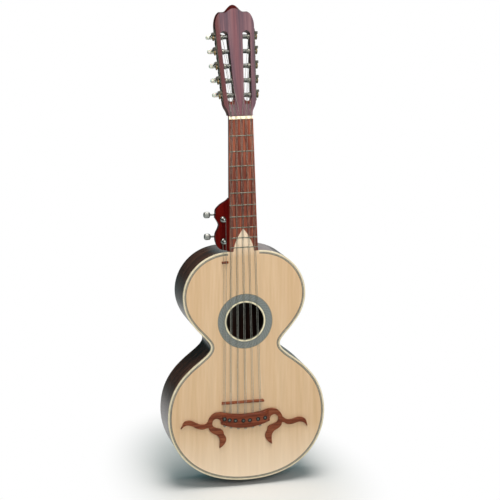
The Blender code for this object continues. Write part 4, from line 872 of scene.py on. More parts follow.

# The headstock: the neck's own wood, sawn to a broad head that leans back, with two long slots through it.
# Its crest is carved with a chamfer, which shows the red core darkened with painted shade, and the string
# slots end in short ramps.
HEAD_TILT = radians(13)
HEAD_DROP = 1.6 * MM
HEAD_LENGTH = 202.5 * MM
VENEER_THICKNESS = 2 * MM
CORE_BACK = 20.3 * MM
HALF_LOW = 29.5 * MM
HALF_HIGH = 35.6 * MM
FLARE_START = 3 * MM
FLARE_END = 26 * MM
SIDE_END = 163 * MM
SHOULDER_HEIGHT = 189.8 * MM
SHOULDER_HALF = 26 * MM
CREST_HALF = 19 * MM
RAIL_WIDTH = 7.5 * MM
SLOT_WIDTH = 14 * MM
SLOT_START = 27.5 * MM
SLOT_END = 154 * MM
RAMP_LENGTH = 17 * MM
RAMP_DEPTH = 3 * MM
SHOULDER_BEVEL = 3.3 * MM
CREST_BEVEL = 8 * MM
BEVEL_END = 9.3 * MM
CORE_FOOT = -8 * MM
head_frame = Matrix.Translation((0, HEAD_DROP, NUT_THICKNESS)) @ Matrix.Rotation(-HEAD_TILT, 4, "X")


def head_half(height):
    """Half the head's width along its straight, slightly splayed sides."""
    return HALF_LOW + (HALF_HIGH - HALF_LOW) * (height - FLARE_END) / (SIDE_END - FLARE_END)


def head_outline(start, bevel=0.0):
    """The head's outline. A bevel of 1 draws the face's edge, lower at the shoulders and the crest."""
    low, high = (HALF_LOW, FLARE_END), (HALF_HIGH, SIDE_END)
    height = SHOULDER_HEIGHT - SHOULDER_BEVEL * bevel
    crest = HEAD_LENGTH - CREST_BEVEL * bevel
    corner = height - SIDE_END
    rise = FLARE_END - FLARE_START
    points = [(NUT_HALF, start)]
    points += bezier((NUT_HALF, FLARE_START), (NUT_HALF, FLARE_START + rise * 0.45),
                     (low[0] - 1.5 * MM, low[1] - rise * 0.5), low, 14)
    points += [low, (head_half(80 * MM), 80 * MM), (head_half(130 * MM), 130 * MM)]
    points += bezier(high, (high[0] + 0.4 * MM, high[1] + corner * 0.45),
                     (SHOULDER_HALF + corner * 0.17, height), (SHOULDER_HALF, height), 18)
    points.append((SHOULDER_HALF, height))
    points += bezier((CREST_HALF, height), (CREST_HALF * 0.66, height), (CREST_HALF * 0.45, crest),
                     (0, crest), 18)
    points.append((0, crest))
    return points + [(-x, z) for x, z in reversed(points[:-1])]


def slot_loop(side):
    """One string slot, parallel to the side of the head and round at both ends."""
    radius = SLOT_WIDTH / 2
    points = []
    for height, start in ((SLOT_END - radius, 0.0), (SLOT_START + radius, pi)):
        centre = head_half(height) - RAIL_WIDTH - radius
        for i in range(19):
            angle = start + pi * i / 18
            points.append((side * (centre + radius * cos(angle)), height + radius * sin(angle)))
    return points


def cut_out(bm, cutter_bm, finishes):
    """What is left of a shape in these finishes once another is cut out of it."""
    whole, cutter = as_object("whole", bm, finishes), as_object("cutter", cutter_bm)
    step = whole.modifiers.new("cut", "BOOLEAN")
    step.object = cutter
    step.solver = "EXACT"
    left = settled(whole)
    bpy.data.objects.remove(cutter)
    return left


def ramps():
    """Two wedges, for the slopes at the lower ends of the slots."""
    bm = bmesh.new()
    for side in (-1, 1):
        middle = side * (head_half(SLOT_START) - RAIL_WIDTH - SLOT_WIDTH / 2)
        half = SLOT_WIDTH / 2 - MM
        low, high = SLOT_START - RAMP_LENGTH, SLOT_START + SLOT_WIDTH / 2
        fall = RAMP_DEPTH * (high - low) / RAMP_LENGTH
        wedge = [(-MM, low), (0, low), (fall, high), (-MM, high)]
        add_skin(bm, [[(middle + x, y, z) for y, z in wedge] for x in (-half, half)])
    return bm


# The chamfer shows the core's own red; its darker tone is painted shade.
red_edge_in_painted_shade = wood("red edge in painted shade", ("#230504", "#370A07", "#4A110B"), 6 * MM, 1 * MM, 0.3, shine=0.05)


def head_layer(rings, finish):
    """A layer of the head in its place: slots and ramps cut through it, and its chamfered crest in a darker
    red of painted shade.
    """
    bm = bmesh.new()
    add_plate(bm, rings, [slot_loop(-1), slot_loop(1)])
    for face in bm.faces:
        level = [v.co.y for v in face.verts]
        if min(level) + MM < max(level) <= BEVEL_END + HAIR and max(v.co.z for v in face.verts) > SIDE_END:
            face.material_index = 1
    bm = cut_out(bm, ramps(), [finish, red_edge_in_painted_shade])
    bmesh.ops.transform(bm, matrix=head_frame, verts=bm.verts)
    return bm


bm = head_layer([(head_outline(CORE_FOOT, 1), VENEER_THICKNESS + HAIR), (head_outline(CORE_FOOT), BEVEL_END),
                 (head_outline(CORE_FOOT), CORE_BACK)], neck_wood)
cut = bmesh.ops.bisect_plane(bm, geom=bm.verts[:] + bm.edges[:] + bm.faces[:], dist=1e-6,
                             plane_co=(0, 0, NUT_THICKNESS + HAIR), plane_no=(0, 0, -1), clear_outer=True)
bmesh.ops.holes_fill(bm, edges=[e for e in cut["geom_cut"] if isinstance(e, bmesh.types.BMEdge)])
make_piece("slotted_headstock", bm, [neck_wood, red_edge_in_painted_shade], ["headstock"], bevel=0.5 * MM)

# The head's face: a veneer of purplish rosewood glued over the core, with a redder stripe of heartwood down
# its middle and a red-brown edge on the bass side. Nothing is inlaid in it.
veneer_wood, tree, shader, where = new_finish("purplish rosewood veneer")
long = mapped(tree, where, Rotation=(HEAD_TILT, 0, 0))
drawn = mapped(tree, long, Scale=(1, 1, 0.05))
figure = noise(tree, drawn, 170.0, 5.0, roughness=0.6, distortion=0.5)
tone = ramp(tree, figure, (0.3, "#4A404A"), (0.5, "#694F56"), (0.7, "#7F6064"))
along = apart(tree, where)
stripe = ranged(tree, maths(tree, "ABSOLUTE", along["X"]), start=2 * MM, end=8 * MM, low=0.35, high=0.0)
heart = mixed(tree, stripe, tone, linear("#7E494C"))
sheen = ranged(tree, figure, low=0.3, high=0.48)
relief = bump(tree, figure, 0.12, 0.1 * MM)
taper = (HALF_HIGH - HALF_LOW) / (SIDE_END - FLARE_END)
edge_line = maths(tree, "MULTIPLY_ADD", along["Z"], -taper, FLARE_END * taper - HALF_LOW)
red_edge = ranged(tree, maths(tree, "SUBTRACT", edge_line, along["X"]), start=-11 * MM, end=-5 * MM,
                  high=0.65)
edged = mixed(tree, red_edge, heart, linear("#57271F"))
feed(tree, shader, {"Base Color": edged, "Roughness": sheen, "Normal": relief, "Specular IOR Level": 0.08})

outline = head_outline(HAIR + VENEER_THICKNESS * tan(HEAD_TILT), 1)
bm = head_layer([(outline, 0), (outline, VENEER_THICKNESS)], veneer_wood)
make_piece("rosewood_veneer", bm, [veneer_wood, red_edge_in_painted_shade], ["head_veneer"], sharp=25)

# The machine heads' side plates: strips of nickel-plated steel with ears bent out to hold the worms. Small
# screws fix each plate to the side of the head.
tarnished = metal("tarnished nickel plate", ("#33352F", "#5C5D53"), 0.4, 1.5 * MM)
MACHINE_SCREW_RADIUS = 1.3 * MM
PLATE_BOLT_RADIUS = 2.6 * MM
PLATE_BOLT_DROP = 10 * MM
FIRST_BOLT_AT = -7.6 * MM
ROLLER_SPACING = 26.3 * MM
SCREW_APART = 7.2 * MM
SCREW_STAGGER = 1.5 * MM
LAST_SCREW_AT = 11.6 * MM
PLATE_OUTER = 1.5 * MM
GEAR_AT = 4.6 * MM
CENTRES = 7 * MM


def copied(node):
    """A solid's own shape, with its loose triangles joined into faces."""
    bm = bmesh.new()
    bm.from_mesh(frame["nodes"][node].data)
    bmesh.ops.remove_doubles(bm, verts=bm.verts, dist=0.01 * MM)
    bmesh.ops.dissolve_limit(bm, angle_limit=radians(1), verts=bm.verts, edges=bm.edges)
    return bm


joints = {joint["name"]: joint for joint in frame["joints"]}


def machine_frame(roller, worm):
    """A machine's own frame from its joints: X out along the roller, Y along the worm, Z between them."""
    across = Vector(joints[roller + "_turn"]["axis"])
    along = Vector(joints[worm + "_turn"]["axis"])
    foot, top = Vector(joints[roller + "_turn"]["pos_m"]), Vector(joints[worm + "_turn"]["pos_m"])
    rise = (top - foot).normalized()
    axes = Matrix((across, along, rise)).transposed().to_4x4()
    return Matrix.Translation(foot - across * GEAR_AT) @ axes


def dome_tree(name, sides, groove=False):
    """A geometry tree that sets domed heads on points, with a slot across each where it is asked for."""
    tree, given = new_tree(name, [("Geometry", "Geometry"), ("Radius", "Float"), ("Height", "Float"),
                                  ("Finish", "Material")])
    dome = add(tree, "GeometryNodeMeshUVSphere", {"Segments": sides, "Rings": 10, "Radius": 1.0})[0]
    if groove:
        bar = add(tree, "GeometryNodeMeshCube", {"Size": (0.28, 3.0, 1.0)})[0]
        lifted = add(tree, "GeometryNodeTransform", {"Geometry": bar, "Translation": (0, 0, 1.05)})[0]
        dome = add(tree, "GeometryNodeMeshBoolean", {"Mesh 1": dome, "Mesh 2": lifted},
                   operation="DIFFERENCE")[0]
    size = joined(tree, given["Radius"], given["Radius"], given["Height"])
    return finish_tree(tree, dome, given["Finish"], given["Geometry"], Scale=size)


screw_tree = dome_tree("slotted screws", 20, groove=True)


def add_screws(name, spots, place, radius, height, finish, tree=screw_tree):
    """Screw heads at spots (x, y) on the plane Z = 0 of a place whose +Z points out of the surface."""
    seed_mesh = bpy.data.meshes.new("spots")
    seed_mesh.from_pydata([(x, y, 0) for x, y in spots], [], [])
    bm = grow(tree, seed_mesh, {"Radius": radius, "Height": height, "Finish": finish})
    make_piece(name, bm, [finish], sharp=40, place=place)


def long_machine(site):
    """The frame of one of the ten machines on the head."""
    return machine_frame(f"roller_{site}", f"worm_{site}")


out_of_plate = Matrix(((0, 0, 1, 0), (1, 0, 0, 0), (0, 1, 0, 0), (0, 0, 0, 1)))
for word in ("bass", "treble"):
    make_piece(f"side_plate_{word}", copied(f"tuner_plate_{word}"), [tarnished],
               [f"tuner_plate_{word}"], bevel=0.2 * MM)
    place = long_machine(f"{word}_1") @ Matrix.Translation((PLATE_OUTER, 0, 0)) @ out_of_plate
    heights = [ROLLER_SPACING * (number + 0.5) for number in range(4)] + [ROLLER_SPACING * 4 + LAST_SCREW_AT]
    spots = [(hand * SCREW_APART / 2, height + hand * SCREW_STAGGER) for height in heights
             for hand in (-1, 1)]
    add_screws(f"plate_screws_{word}", spots, place, MACHINE_SCREW_RADIUS, 0.7 * MM, tarnished)
    bolts = [(0, FIRST_BOLT_AT)] + [(0, ROLLER_SPACING * number - PLATE_BOLT_DROP) for number in range(1, 5)]
    add_screws(f"plate_bolts_{word}", bolts, place, PLATE_BOLT_RADIUS, 1.5 * MM, tarnished)

# The rollers: steel barrels across the slots, each with a brass gear pressed on its squared end outside the
# plate. The gears are cut with fourteen skewed teeth.
ROLLER_RADIUS = 4 * MM
JOURNAL_RADIUS = 3.2 * MM
PIN_RADIUS = 2.2 * MM
PIN_LENGTH = 6 * MM
RUNNING_GAP = 0.35 * MM
WRAP_FROM_EDGE = 10.5 * MM
WRAP_WIDTH = 4.4 * MM
WIRE_RADIUS = 0.45 * MM
GEAR_TEETH = 14
GEAR_RADIUS = 4.6 * MM
GEAR_THICKNESS = 2.4 * MM
GEAR_EDGE = 0.2 * MM
ROLLER_EDGE = 0.3 * MM
WORM_RADIUS = 2.4 * MM
ADDENDUM = 0.5 * MM
DEDENDUM = 0.7 * MM
TOOTH_PITCH = 2 * pi * GEAR_RADIUS / GEAR_TEETH

dark_steel = metal("oil blacked steel", ("#3B3E3C", "#6C6F6B"), 0.36, 1.2 * MM)
brass = metal("worn brass", ("#6A5C42", "#978761"), 0.36, 1.2 * MM)


def add_turned(bm, profile, sides, finish=0):
    """A round shape turned about X. The profile lists (x, radius), and starts and ends on flat faces."""
    add_skin(bm, [[(x, y, z) for y, z in circle(radius, sides)] for x, radius in profile], finish)


def add_gear(bm, finish):
    """A worm wheel on X. Its teeth are skewed to follow the worm's thread, and a gap faces the worm."""
    root, tip = GEAR_RADIUS - DEDENDUM, GEAR_RADIUS + ADDENDUM
    step = 2 * pi / GEAR_TEETH
    twist = TOOTH_PITCH / (2 * pi * WORM_RADIUS * GEAR_RADIUS)
    flank = ((-0.27, root), (-0.2, root + 0.35 * (tip - root)), (-0.13, tip - 0.1 * MM), (-0.08, tip),
             (0.08, tip), (0.13, tip - 0.1 * MM), (0.2, root + 0.35 * (tip - root)), (0.27, root))
    half = GEAR_THICKNESS / 2
    rings = []
    for offset, shrink in ((-half, GEAR_EDGE), (-half + GEAR_EDGE, 0.0), (half - GEAR_EDGE, 0.0),
                           (half, GEAR_EDGE)):
        ring = []
        for tooth in range(GEAR_TEETH):
            centre = (tooth + 0.5) * step - twist * offset
            for share, radius in flank:
                angle = centre + share * step
                ring.append((GEAR_AT + offset, (radius - shrink) * sin(angle),
                             (radius - shrink) * cos(angle)))
        rings.append(ring)
    add_skin(bm, rings, finish)


LONG_SITES = [f"{word}_{number}" for word in ("bass", "treble") for number in range(1, 6)]
barrel_in = -RAIL_WIDTH - SLOT_WIDTH + RUNNING_GAP
barrel_out = -RAIL_WIDTH - RUNNING_GAP
boss_end = GEAR_AT + GEAR_THICKNESS / 2 + 0.8 * MM
for site in LONG_SITES:
    roller = f"roller_{site}"
    bm = bmesh.new()
    add_turned(bm, [(barrel_in - PIN_LENGTH, PIN_RADIUS), (barrel_in, PIN_RADIUS),
                    (barrel_in, ROLLER_RADIUS - ROLLER_EDGE), (barrel_in + ROLLER_EDGE, ROLLER_RADIUS),
                    (barrel_out - ROLLER_EDGE, ROLLER_RADIUS), (barrel_out, ROLLER_RADIUS - ROLLER_EDGE),
                    (barrel_out, JOURNAL_RADIUS), (GEAR_AT, JOURNAL_RADIUS)], 28)
    add_turned(bm, [(GEAR_AT, ROLLER_RADIUS / 2), (boss_end - ROLLER_EDGE, ROLLER_RADIUS / 2),
                    (boss_end, ROLLER_RADIUS / 2 - ROLLER_EDGE)], 20, 1)
    add_gear(bm, 1)
    make_piece(f"{roller}_barrel", bm, [dark_steel, brass], [roller], roller,
               place=long_machine(site))

# The string wound on each roller: a little over four close turns of drawn steel wire, which turn with the
# roller. The string itself comes up to them from the nut.
steel = metal("drawn steel string", ("#8A8B82", "#B7B8AE"), 0.3, 0.8 * MM)

tree, given = new_tree("wound string", [("Turns", "Float"), ("Coil Radius", "Float"), ("Length", "Float"),
                                        ("Wire Radius", "Float"), ("Finish", "Material")])
coil = add(tree, "GeometryNodeCurveSpiral", {"Resolution": 24, "Rotations": given["Turns"],
                                             "Start Radius": given["Coil Radius"],
                                             "End Radius": given["Coil Radius"],
                                             "Height": given["Length"]})[0]
ring = add(tree, "GeometryNodeCurvePrimitiveCircle", {"Resolution": 8, "Radius": given["Wire Radius"]})[0]
wire = add(tree, "GeometryNodeCurveToMesh", {"Curve": coil, "Profile Curve": ring, "Fill Caps": True})[0]
finish_tree(tree, wire, given["Finish"])

along_roller = Matrix.Translation((-WRAP_FROM_EDGE - WRAP_WIDTH / 2 + WIRE_RADIUS, 0, 0)) @ \
    Matrix.Rotation(pi / 2, 4, "Y")
for site in LONG_SITES:
    bm = grow(tree, bpy.data.meshes.new("coil"), {
        "Turns": WRAP_WIDTH / (2 * WIRE_RADIUS) - 0.5, "Coil Radius": ROLLER_RADIUS + WIRE_RADIUS,
        "Length": WRAP_WIDTH - 2 * WIRE_RADIUS, "Wire Radius": WIRE_RADIUS, "Finish": steel})
    make_piece(f"winding_{site}", bm, [steel], body=f"roller_{site}", sharp=60,
               place=long_machine(site) @ along_roller)

# The worms: steel shafts with a cut thread that turns the gear, running in the plate's ears, each with a
# flattened button of cream pearloid pressed on its end.
WORM_TURNS = 2.25
WORM_TIP = WORM_RADIUS + ADDENDUM - 0.15 * MM
WORM_CORE = WORM_RADIUS - DEDENDUM
WORM_HALF = TOOTH_PITCH * WORM_TURNS / 2 + 0.5 * MM
SHAFT_RADIUS = 1 * MM
EAR_OUT = WORM_HALF + RUNNING_GAP + 1.2 * MM
BUTTON_STEM = 19 * MM
BUTTON_LENGTH = 13 * MM
BUTTON_WIDTH = 14 * MM
BUTTON_THICKNESS = 8 * MM
STEM_RADIUS = 1.6 * MM
COLLAR_RADIUS = 1.75 * MM
BUTTON_SQUARENESS = 0.65
BUTTON_FULLNESS = 0.38
BUTTON_END = 0.36

pearloid, tree, shader, where = new_finish("cream pearloid")
swirl = noise(tree, where, 220.0, 3.0, distortion=2.5)
tone = ramp(tree, swirl, (0.3, "#DDD8C0"), (0.5, "#F0EDDB"), (0.7, "#FCFAF0"))
sheen = ranged(tree, swirl, low=0.3, high=0.42)
feed(tree, shader, {"Base Color": tone, "Roughness": sheen, "Coat Weight": 0.25, "Coat Roughness": 0.12,
                    "Subsurface Weight": 0.15, "Subsurface Scale": 2 * MM})


def add_shaft(bm, profile, sides):
    """A round shape turned about Y, on the worm's axis. The profile lists (y, radius)."""
    add_skin(bm, [[(GEAR_AT + x, y, CENTRES + z) for x, z in circle(radius, sides)] for y, radius in profile])


def add_thread(bm):
    """The worm's thread. At its middle, a crest faces the gear."""
    root = WORM_CORE * 0.8
    steps = round(24 * WORM_TURNS)
    rings = []
    for i in range(steps + 1):
        turn = (i / steps - 0.5) * WORM_TURNS * 2 * pi
        fade = min(i, steps - i, 4) / 4
        ring = []
        for radius, spread in ((root, -0.24), (WORM_TIP, -0.1), (WORM_TIP, 0.1), (root, 0.24)):
            y = TOOTH_PITCH * (turn / (2 * pi) + spread)
            reach = root + (radius - root) * (0.3 + 0.7 * fade)
            ring.append((GEAR_AT + reach * sin(pi + turn), y, CENTRES + reach * cos(pi + turn)))
        rings.append(ring)
    add_skin(bm, rings)


def add_button(bm, start, size, finish):
    """A flattened grip with full, rounded ends. Its size is out from the head, along the shaft and up."""
    out, long, up = size
    rings = []
    for i in range(19):
        share = (1 - cos(pi * i / 18)) / 2
        swell = max((1 - abs(2 * share - 1) ** 4) ** BUTTON_FULLNESS, BUTTON_END)
        ring = []
        for angle in [2 * pi * j / 28 for j in range(28)]:
            x = signed_power(cos(angle), BUTTON_SQUARENESS) * out / 2
            z = signed_power(sin(angle), BUTTON_SQUARENESS) * up / 2
            ring.append((GEAR_AT + x * swell, start + long * share, CENTRES + z * swell))
        rings.append(ring)
    add_skin(bm, rings, finish)


def add_worm(bm, stem, size):
    """A worm, its collar and shaft, and the button in the piece's second finish."""
    button_at = EAR_OUT + stem
    add_shaft(bm, [(-EAR_OUT - 0.8 * MM, SHAFT_RADIUS - 0.2 * MM), (-EAR_OUT - 0.5 * MM, SHAFT_RADIUS),
                   (-WORM_HALF, SHAFT_RADIUS), (-WORM_HALF, WORM_CORE), (WORM_HALF, WORM_CORE),
                   (WORM_HALF, SHAFT_RADIUS), (EAR_OUT + 0.6 * MM, SHAFT_RADIUS),
                   (EAR_OUT + 0.6 * MM, COLLAR_RADIUS), (EAR_OUT + 1.6 * MM, COLLAR_RADIUS),
                   (EAR_OUT + 1.9 * MM, STEM_RADIUS), (button_at + size[1] / 2, STEM_RADIUS)], 20)
    add_thread(bm)
    add_button(bm, button_at, size, 1)


for site in LONG_SITES:
    worm = f"worm_{site}"
    bm = bmesh.new()
    add_worm(bm, BUTTON_STEM, (BUTTON_WIDTH, BUTTON_LENGTH, BUTTON_THICKNESS))
    make_piece(f"{worm}_and_button", bm, [dark_steel, pearloid], [worm], worm, sharp=40,
               place=long_machine(site))

# The side peghead: a lobed block let into the neck on the bass side, for the short course that never crosses
# the frets. It is lacquered a deep glossy red, and its edges are rounded over.
SIDE_TOP = -143 * MM
SIDE_BOTTOM = -238.6 * MM
UPPER_LOBE = ((-29.2, -147.3), (-39.4, -153.1), (-46.3, -159.3), (-49.4, -163.9), (-49.9, -170.5),
              (-50.9, -177.2))
LOWER_LOBE = ((-50.9, -177.2), (-47.4, -183), (-44.2, -190.5), (-45.9, -197.6), (-49.6, -204.6),
              (-51.2, -211.5), (-50.8, -220), (-47.4, -229), (-41.3, -235))
SIDE_FRONT = 3.5 * MM
SIDE_BACK = 15.5 * MM


def mm_points(*pairs):
    return [(x * MM, z * MM) for x, z in pairs]


def smooth_run(knots, steps):
    """Points on a smooth curve through the knots, without its last one."""
    points = []
    for i in range(len(knots) - 1):
        before, start, end = knots[max(i - 1, 0)], knots[i], knots[i + 1]
        after = knots[min(i + 2, len(knots) - 1)]
        handle = (start[0] + (end[0] - before[0]) / 6, start[1] + (end[1] - before[1]) / 6)
        other = (end[0] - (after[0] - start[0]) / 6, end[1] - (after[1] - start[1]) / 6)
        points += bezier(start, handle, other, end, steps)
    return points


red_lacquer, tree, shader, where = new_finish("deep red lacquer")
drawn = mapped(tree, where, Scale=(1, 1, 0.1))
figure = noise(tree, drawn, 130.0, 4.0)
tone = ramp(tree, figure, (0.3, "#330302"), (0.5, "#4C0604"), (0.7, "#620E08"))
ripple = noise(tree, where, 140.0, 1.0)
relief = bump(tree, ripple, 0.1, 0.2 * MM)
sheen = ranged(tree, ripple, low=0.12, high=0.22)
feed(tree, shader, {"Base Color": tone, "Roughness": sheen, "Normal": relief, "Specular IOR Level": 0.05})

loop = [(-NUT_HALF / 2, SIDE_BOTTOM), (-NUT_HALF / 2, SIDE_TOP)]
loop += smooth_run([(-neck_half(SIDE_TOP), SIDE_TOP)] + mm_points(*UPPER_LOBE), 6)
loop += smooth_run(mm_points(*LOWER_LOBE) + [(-neck_half(SIDE_BOTTOM), SIDE_BOTTOM)], 6)
loop.append((-neck_half(SIDE_BOTTOM), SIDE_BOTTOM))
bm = bmesh.new()
add_slab(bm, loop, SIDE_FRONT, SIDE_BACK)
make_piece("lacquered_side_peghead", bm, [red_lacquer], ["side_peghead"], bevel=1.6 * MM)

# The side peghead's machines: two plated posts that stand in domed bushings, driven by worms behind the
# block, with flattened metal buttons at the bass side. A plate with ears carries both.
POST_RADIUS = 3 * MM
POST_HEIGHT = 13 * MM
BUSHING_RADIUS = 5.6 * MM
SHORT_STEM = 16 * MM
SHORT_BUTTON_LENGTH = 12.5 * MM
SHORT_BUTTON_WIDTH = 11.5 * MM
SHORT_BUTTON_THICKNESS = 7 * MM

chrome = metal("polished chrome plate", ("#7E8582", "#AAB0AC"), 0.16, 1.5 * MM, unevenness=0.05)
satin_chrome = metal("satin chrome plate", ("#868A86", "#A8ABA7"), 0.42, 1.5 * MM)
make_piece("side_frame_plate", copied("side_tuner_frame"), [tarnished], ["side_tuner_frame"],
           bevel=0.2 * MM)
front = SIDE_FRONT - SIDE_BACK - 0.3 * MM
for number in (1, 2):
    post, worm = f"short_post_{number}", f"short_worm_{number}"
    place = machine_frame(post, worm)
    bm = bmesh.new()
    add_turned(bm, [(front - 1.3 * MM, POST_RADIUS + 0.4 * MM), (front - 1.2 * MM, POST_RADIUS + 1.2 * MM),
                    (front - 0.8 * MM, BUSHING_RADIUS - 0.6 * MM), (front, BUSHING_RADIUS)], 36)
    make_piece(f"bushing_dome_{number}", bm, [chrome], sharp=50, place=place)
    tip = front - 1 * MM - POST_HEIGHT
    groove_at = tip + POST_HEIGHT * 0.45
    groove = [(groove_at + rise * MM, POST_RADIUS - cut * MM)
              for rise, cut in ((-2, 0), (-1, 0.45), (0, 0.6), (1, 0.45), (2, 0))]
    bm = bmesh.new()
    add_turned(bm, [(tip, POST_RADIUS - 1.4 * MM), (tip + 0.25 * MM, POST_RADIUS - 0.5 * MM),
                    (tip + 0.8 * MM, POST_RADIUS)] + groove + [(GEAR_AT, POST_RADIUS)], 28)
    add_turned(bm, [(GEAR_AT, ROLLER_RADIUS / 2), (boss_end, ROLLER_RADIUS / 2)], 20, 1)
    add_gear(bm, 1)
    make_piece(f"{post}_and_gear", bm, [chrome, brass], [post], post, place=place)
    bm = bmesh.new()
    add_worm(bm, SHORT_STEM, (SHORT_BUTTON_THICKNESS, SHORT_BUTTON_LENGTH, SHORT_BUTTON_WIDTH))
    make_piece(f"{worm}_and_button", bm, [dark_steel, satin_chrome], [worm], worm, sharp=40,
               place=place)

# The bridge: one plate of varnished red-brown wood, sawn to a long scrolled arm and a curled tendril on each
# side of a thicker block. The strings pass through the block, and seven small pins with dark rings are set in
# its face.
BRIDGE_AT = -543.7 * MM
BRIDGE_X = -4 * MM
BRIDGE_HALF = 46 * MM
BRIDGE_DIP = 6.5 * MM
BRIDGE_WIDTH = 26 * MM
BRIDGE_END = 14 * MM
BRIDGE_HEIGHT = 8 * MM
SCROLL_HEIGHT = 4.5 * MM
BLOCK_FALL = 10 * MM
TAIL_TURN = radians(8)
TAIL_PIVOT = (70 * MM, -14 * MM)
PIN_PLACES = ((-43.9, -549.6), (-34.7, -552.2), (-23.5, -554.1), (-8.8, -555.3), (3.4, -555.4), (19, -554.4),
              (32.3, -553))
PIN_HEAD_RADIUS = 2.1 * MM
PIN_RING_RADIUS = 4 * MM
PIN_RISE = 0.9 * MM
PIN_RING_RISE = 0.35 * MM

bridge_wood = wood("varnished bridge wood", ("#5A2A18", "#783E27", "#90563A"), 5 * MM, 0.9 * MM, 0.34,
                   turn=(0, pi / 2, 0), shine=0.14)
block_wood = wood("varnished bridge block", ("#582614", "#743822", "#8A4C32"), 5 * MM, 0.9 * MM, 0.32,
                  turn=(0, pi / 2, 0), shine=0.14)


def bridge_upper(x):
    """The block's upper edge at x from its own middle."""
    return BRIDGE_AT + BRIDGE_DIP * (x / BRIDGE_HALF) ** 2


def bridge_lower(x):
    share = (x / BRIDGE_HALF) ** 2
    return BRIDGE_AT - BRIDGE_WIDTH + (BRIDGE_WIDTH - BRIDGE_END - BRIDGE_DIP + 4 * MM) * share


def bridge_side(side):
    """Half the bridge's outline: block, arch, long tail, curled tendril and the round notch inside it."""
    steps = [BRIDGE_HALF * i / 18 for i in range(14)]
    upper = [(x, bridge_upper(x) - BRIDGE_AT) for x in steps]
    lower = [(x, bridge_lower(x) - BRIDGE_AT) for x in steps]
    start = upper.pop()
    arch = [start] + mm_points((40, 5.4), (50, 6.6), (60, 4), (67, -3), (70.5, -11))
    tail = mm_points((70.5, -11), (75.5, -14.6), (83, -16.2), (91, -14.2), (100.5, -10.5), (109, -10.5),
                     (115.5, -14.5), (120, -27))
    under = mm_points((120, -27), (114.5, -21.3), (108.5, -18.6), (100, -19.6), (91, -23.4), (81, -24.8),
                      (73, -21.8))
    outer = mm_points((69.4, -21), (67.8, -26.5), (62.5, -32), (54.5, -36.6), (50.3, -42), (48.9, -49),
                      (49.8, -61.6))
    inner = mm_points((49.8, -61.6), (43, -57), (37.5, -49), (37.3, -42), (41, -35), (42.2, -29.5),
                      (46.5, -25.8), (56, -22.5), (61.5, -18), (62.3, -12), (59.5, -7), (54.5, -5), (49, -7),
                      (46, -12))
    turn = TAIL_TURN if side < 0 else -TAIL_TURN
    points = upper + smooth_run(arch, 6)
    for run in (tail, under):
        for x, z in smooth_run(run, 5):
            angle = turn * min(max((x - TAIL_PIVOT[0]) / (10 * MM), 0.0), 1.0)
            dx, dz = x - TAIL_PIVOT[0], z - TAIL_PIVOT[1]
            points.append((TAIL_PIVOT[0] + dx * cos(angle) - dz * sin(angle),
                           TAIL_PIVOT[1] + dx * sin(angle) + dz * cos(angle)))
    points += smooth_run(outer, 5)
    points += smooth_run(inner, 5)
    points += [(46 * MM, -12 * MM), (46 * MM, bridge_lower(46 * MM) - BRIDGE_AT)] + lower[::-1]
    return [(BRIDGE_X + side * x, BRIDGE_AT + z) for x, z in points]


arms = bridge_side(1) + bridge_side(-1)[-2:0:-1]
bm = bmesh.new()
add_slab(bm, arms, -SCROLL_HEIGHT, -HAIR)
make_piece("bridge_scrolls", bm, [bridge_wood], ["bridge"], bevel=0.9 * MM)
rings = []
for i in range(93):
    x = (BRIDGE_HALF - 0.5 * MM) * (i - 46) / 46
    share = min(max((BRIDGE_HALF - abs(x)) / BLOCK_FALL, 0.0), 1.0)
    rise = SCROLL_HEIGHT - 0.2 * MM
    rise += (BRIDGE_HEIGHT - SCROLL_HEIGHT + 0.2 * MM) * share * share * (3 - 2 * share)
    low, high, base = bridge_lower(x) + 0.3 * MM, bridge_upper(x) - 0.3 * MM, -SCROLL_HEIGHT + MM
    section = [(base, low), (-rise + 2 * MM, low), (-rise + 0.6 * MM, low + 0.7 * MM), (-rise, low + 2 * MM),
               (-rise, high - 2 * MM), (-rise + 0.6 * MM, high - 0.7 * MM), (-rise + 2 * MM, high),
               (base, high)]
    rings.append([(BRIDGE_X + x, min(y, base), z) for y, z in section])
bm = bmesh.new()
add_skin(bm, rings)
make_piece("bridge_block", bm, [block_wood], sharp=50)
pins = metal("dull pewter pins", ("#50554F", "#7C817B"), 0.5, 0.8 * MM)
ebony = wood("ebony pin rings", ("#17120F", "#211A16", "#2E2520"), 3 * MM, 0.7 * MM, 0.4, shine=0.2)
out_of_block = Matrix(((1, 0, 0, 0), (0, 0, -1, 0), (0, 1, 0, 0), (0, 0, 0, 1)))
on_block = Matrix.Translation((0, -BRIDGE_HEIGHT, 0)) @ out_of_block
pin_spots = mm_points(*PIN_PLACES)
add_screws("bridge_pins", pin_spots, on_block, PIN_HEAD_RADIUS, PIN_RISE, pins)
add_screws("bridge_pin_rings", pin_spots, on_block, PIN_RING_RADIUS, PIN_RING_RISE, ebony,
           dome_tree("round rims", 24))

# The saddle: a loose bar of the same wood that stands on the soundboard, held down by the strings alone, with
# a narrow crest that they bear on.
COURSE_SPACING_SADDLE = 13.8 * MM
PAIR_SPACING_SADDLE = 2.6 * MM
SHORT_COURSE_X = -43.2 * MM
SADDLE_AT = -521.3 * MM
SADDLE_LEFT = -47.2 * MM
SADDLE_RIGHT = 31.3 * MM
SADDLE_HEIGHT = 7.2 * MM
SHALLOW_GROOVE_HALF = 0.6 * MM
short_places = [SHORT_COURSE_X - PAIR_SPACING_SADDLE / 2, SHORT_COURSE_X + PAIR_SPACING_SADDLE / 2]
at_saddle = [BRIDGE_X + x for x in pair_places(COURSE_SPACING_SADDLE, PAIR_SPACING_SADDLE)]
saddle_places = short_places + at_saddle


def matched_sides(middle, side):
    """A bar's section from one side of it, given as (y, distance from its middle)."""
    return [(y, middle - z) for y, z in side] + [(y, middle + z) for y, z in reversed(side)]


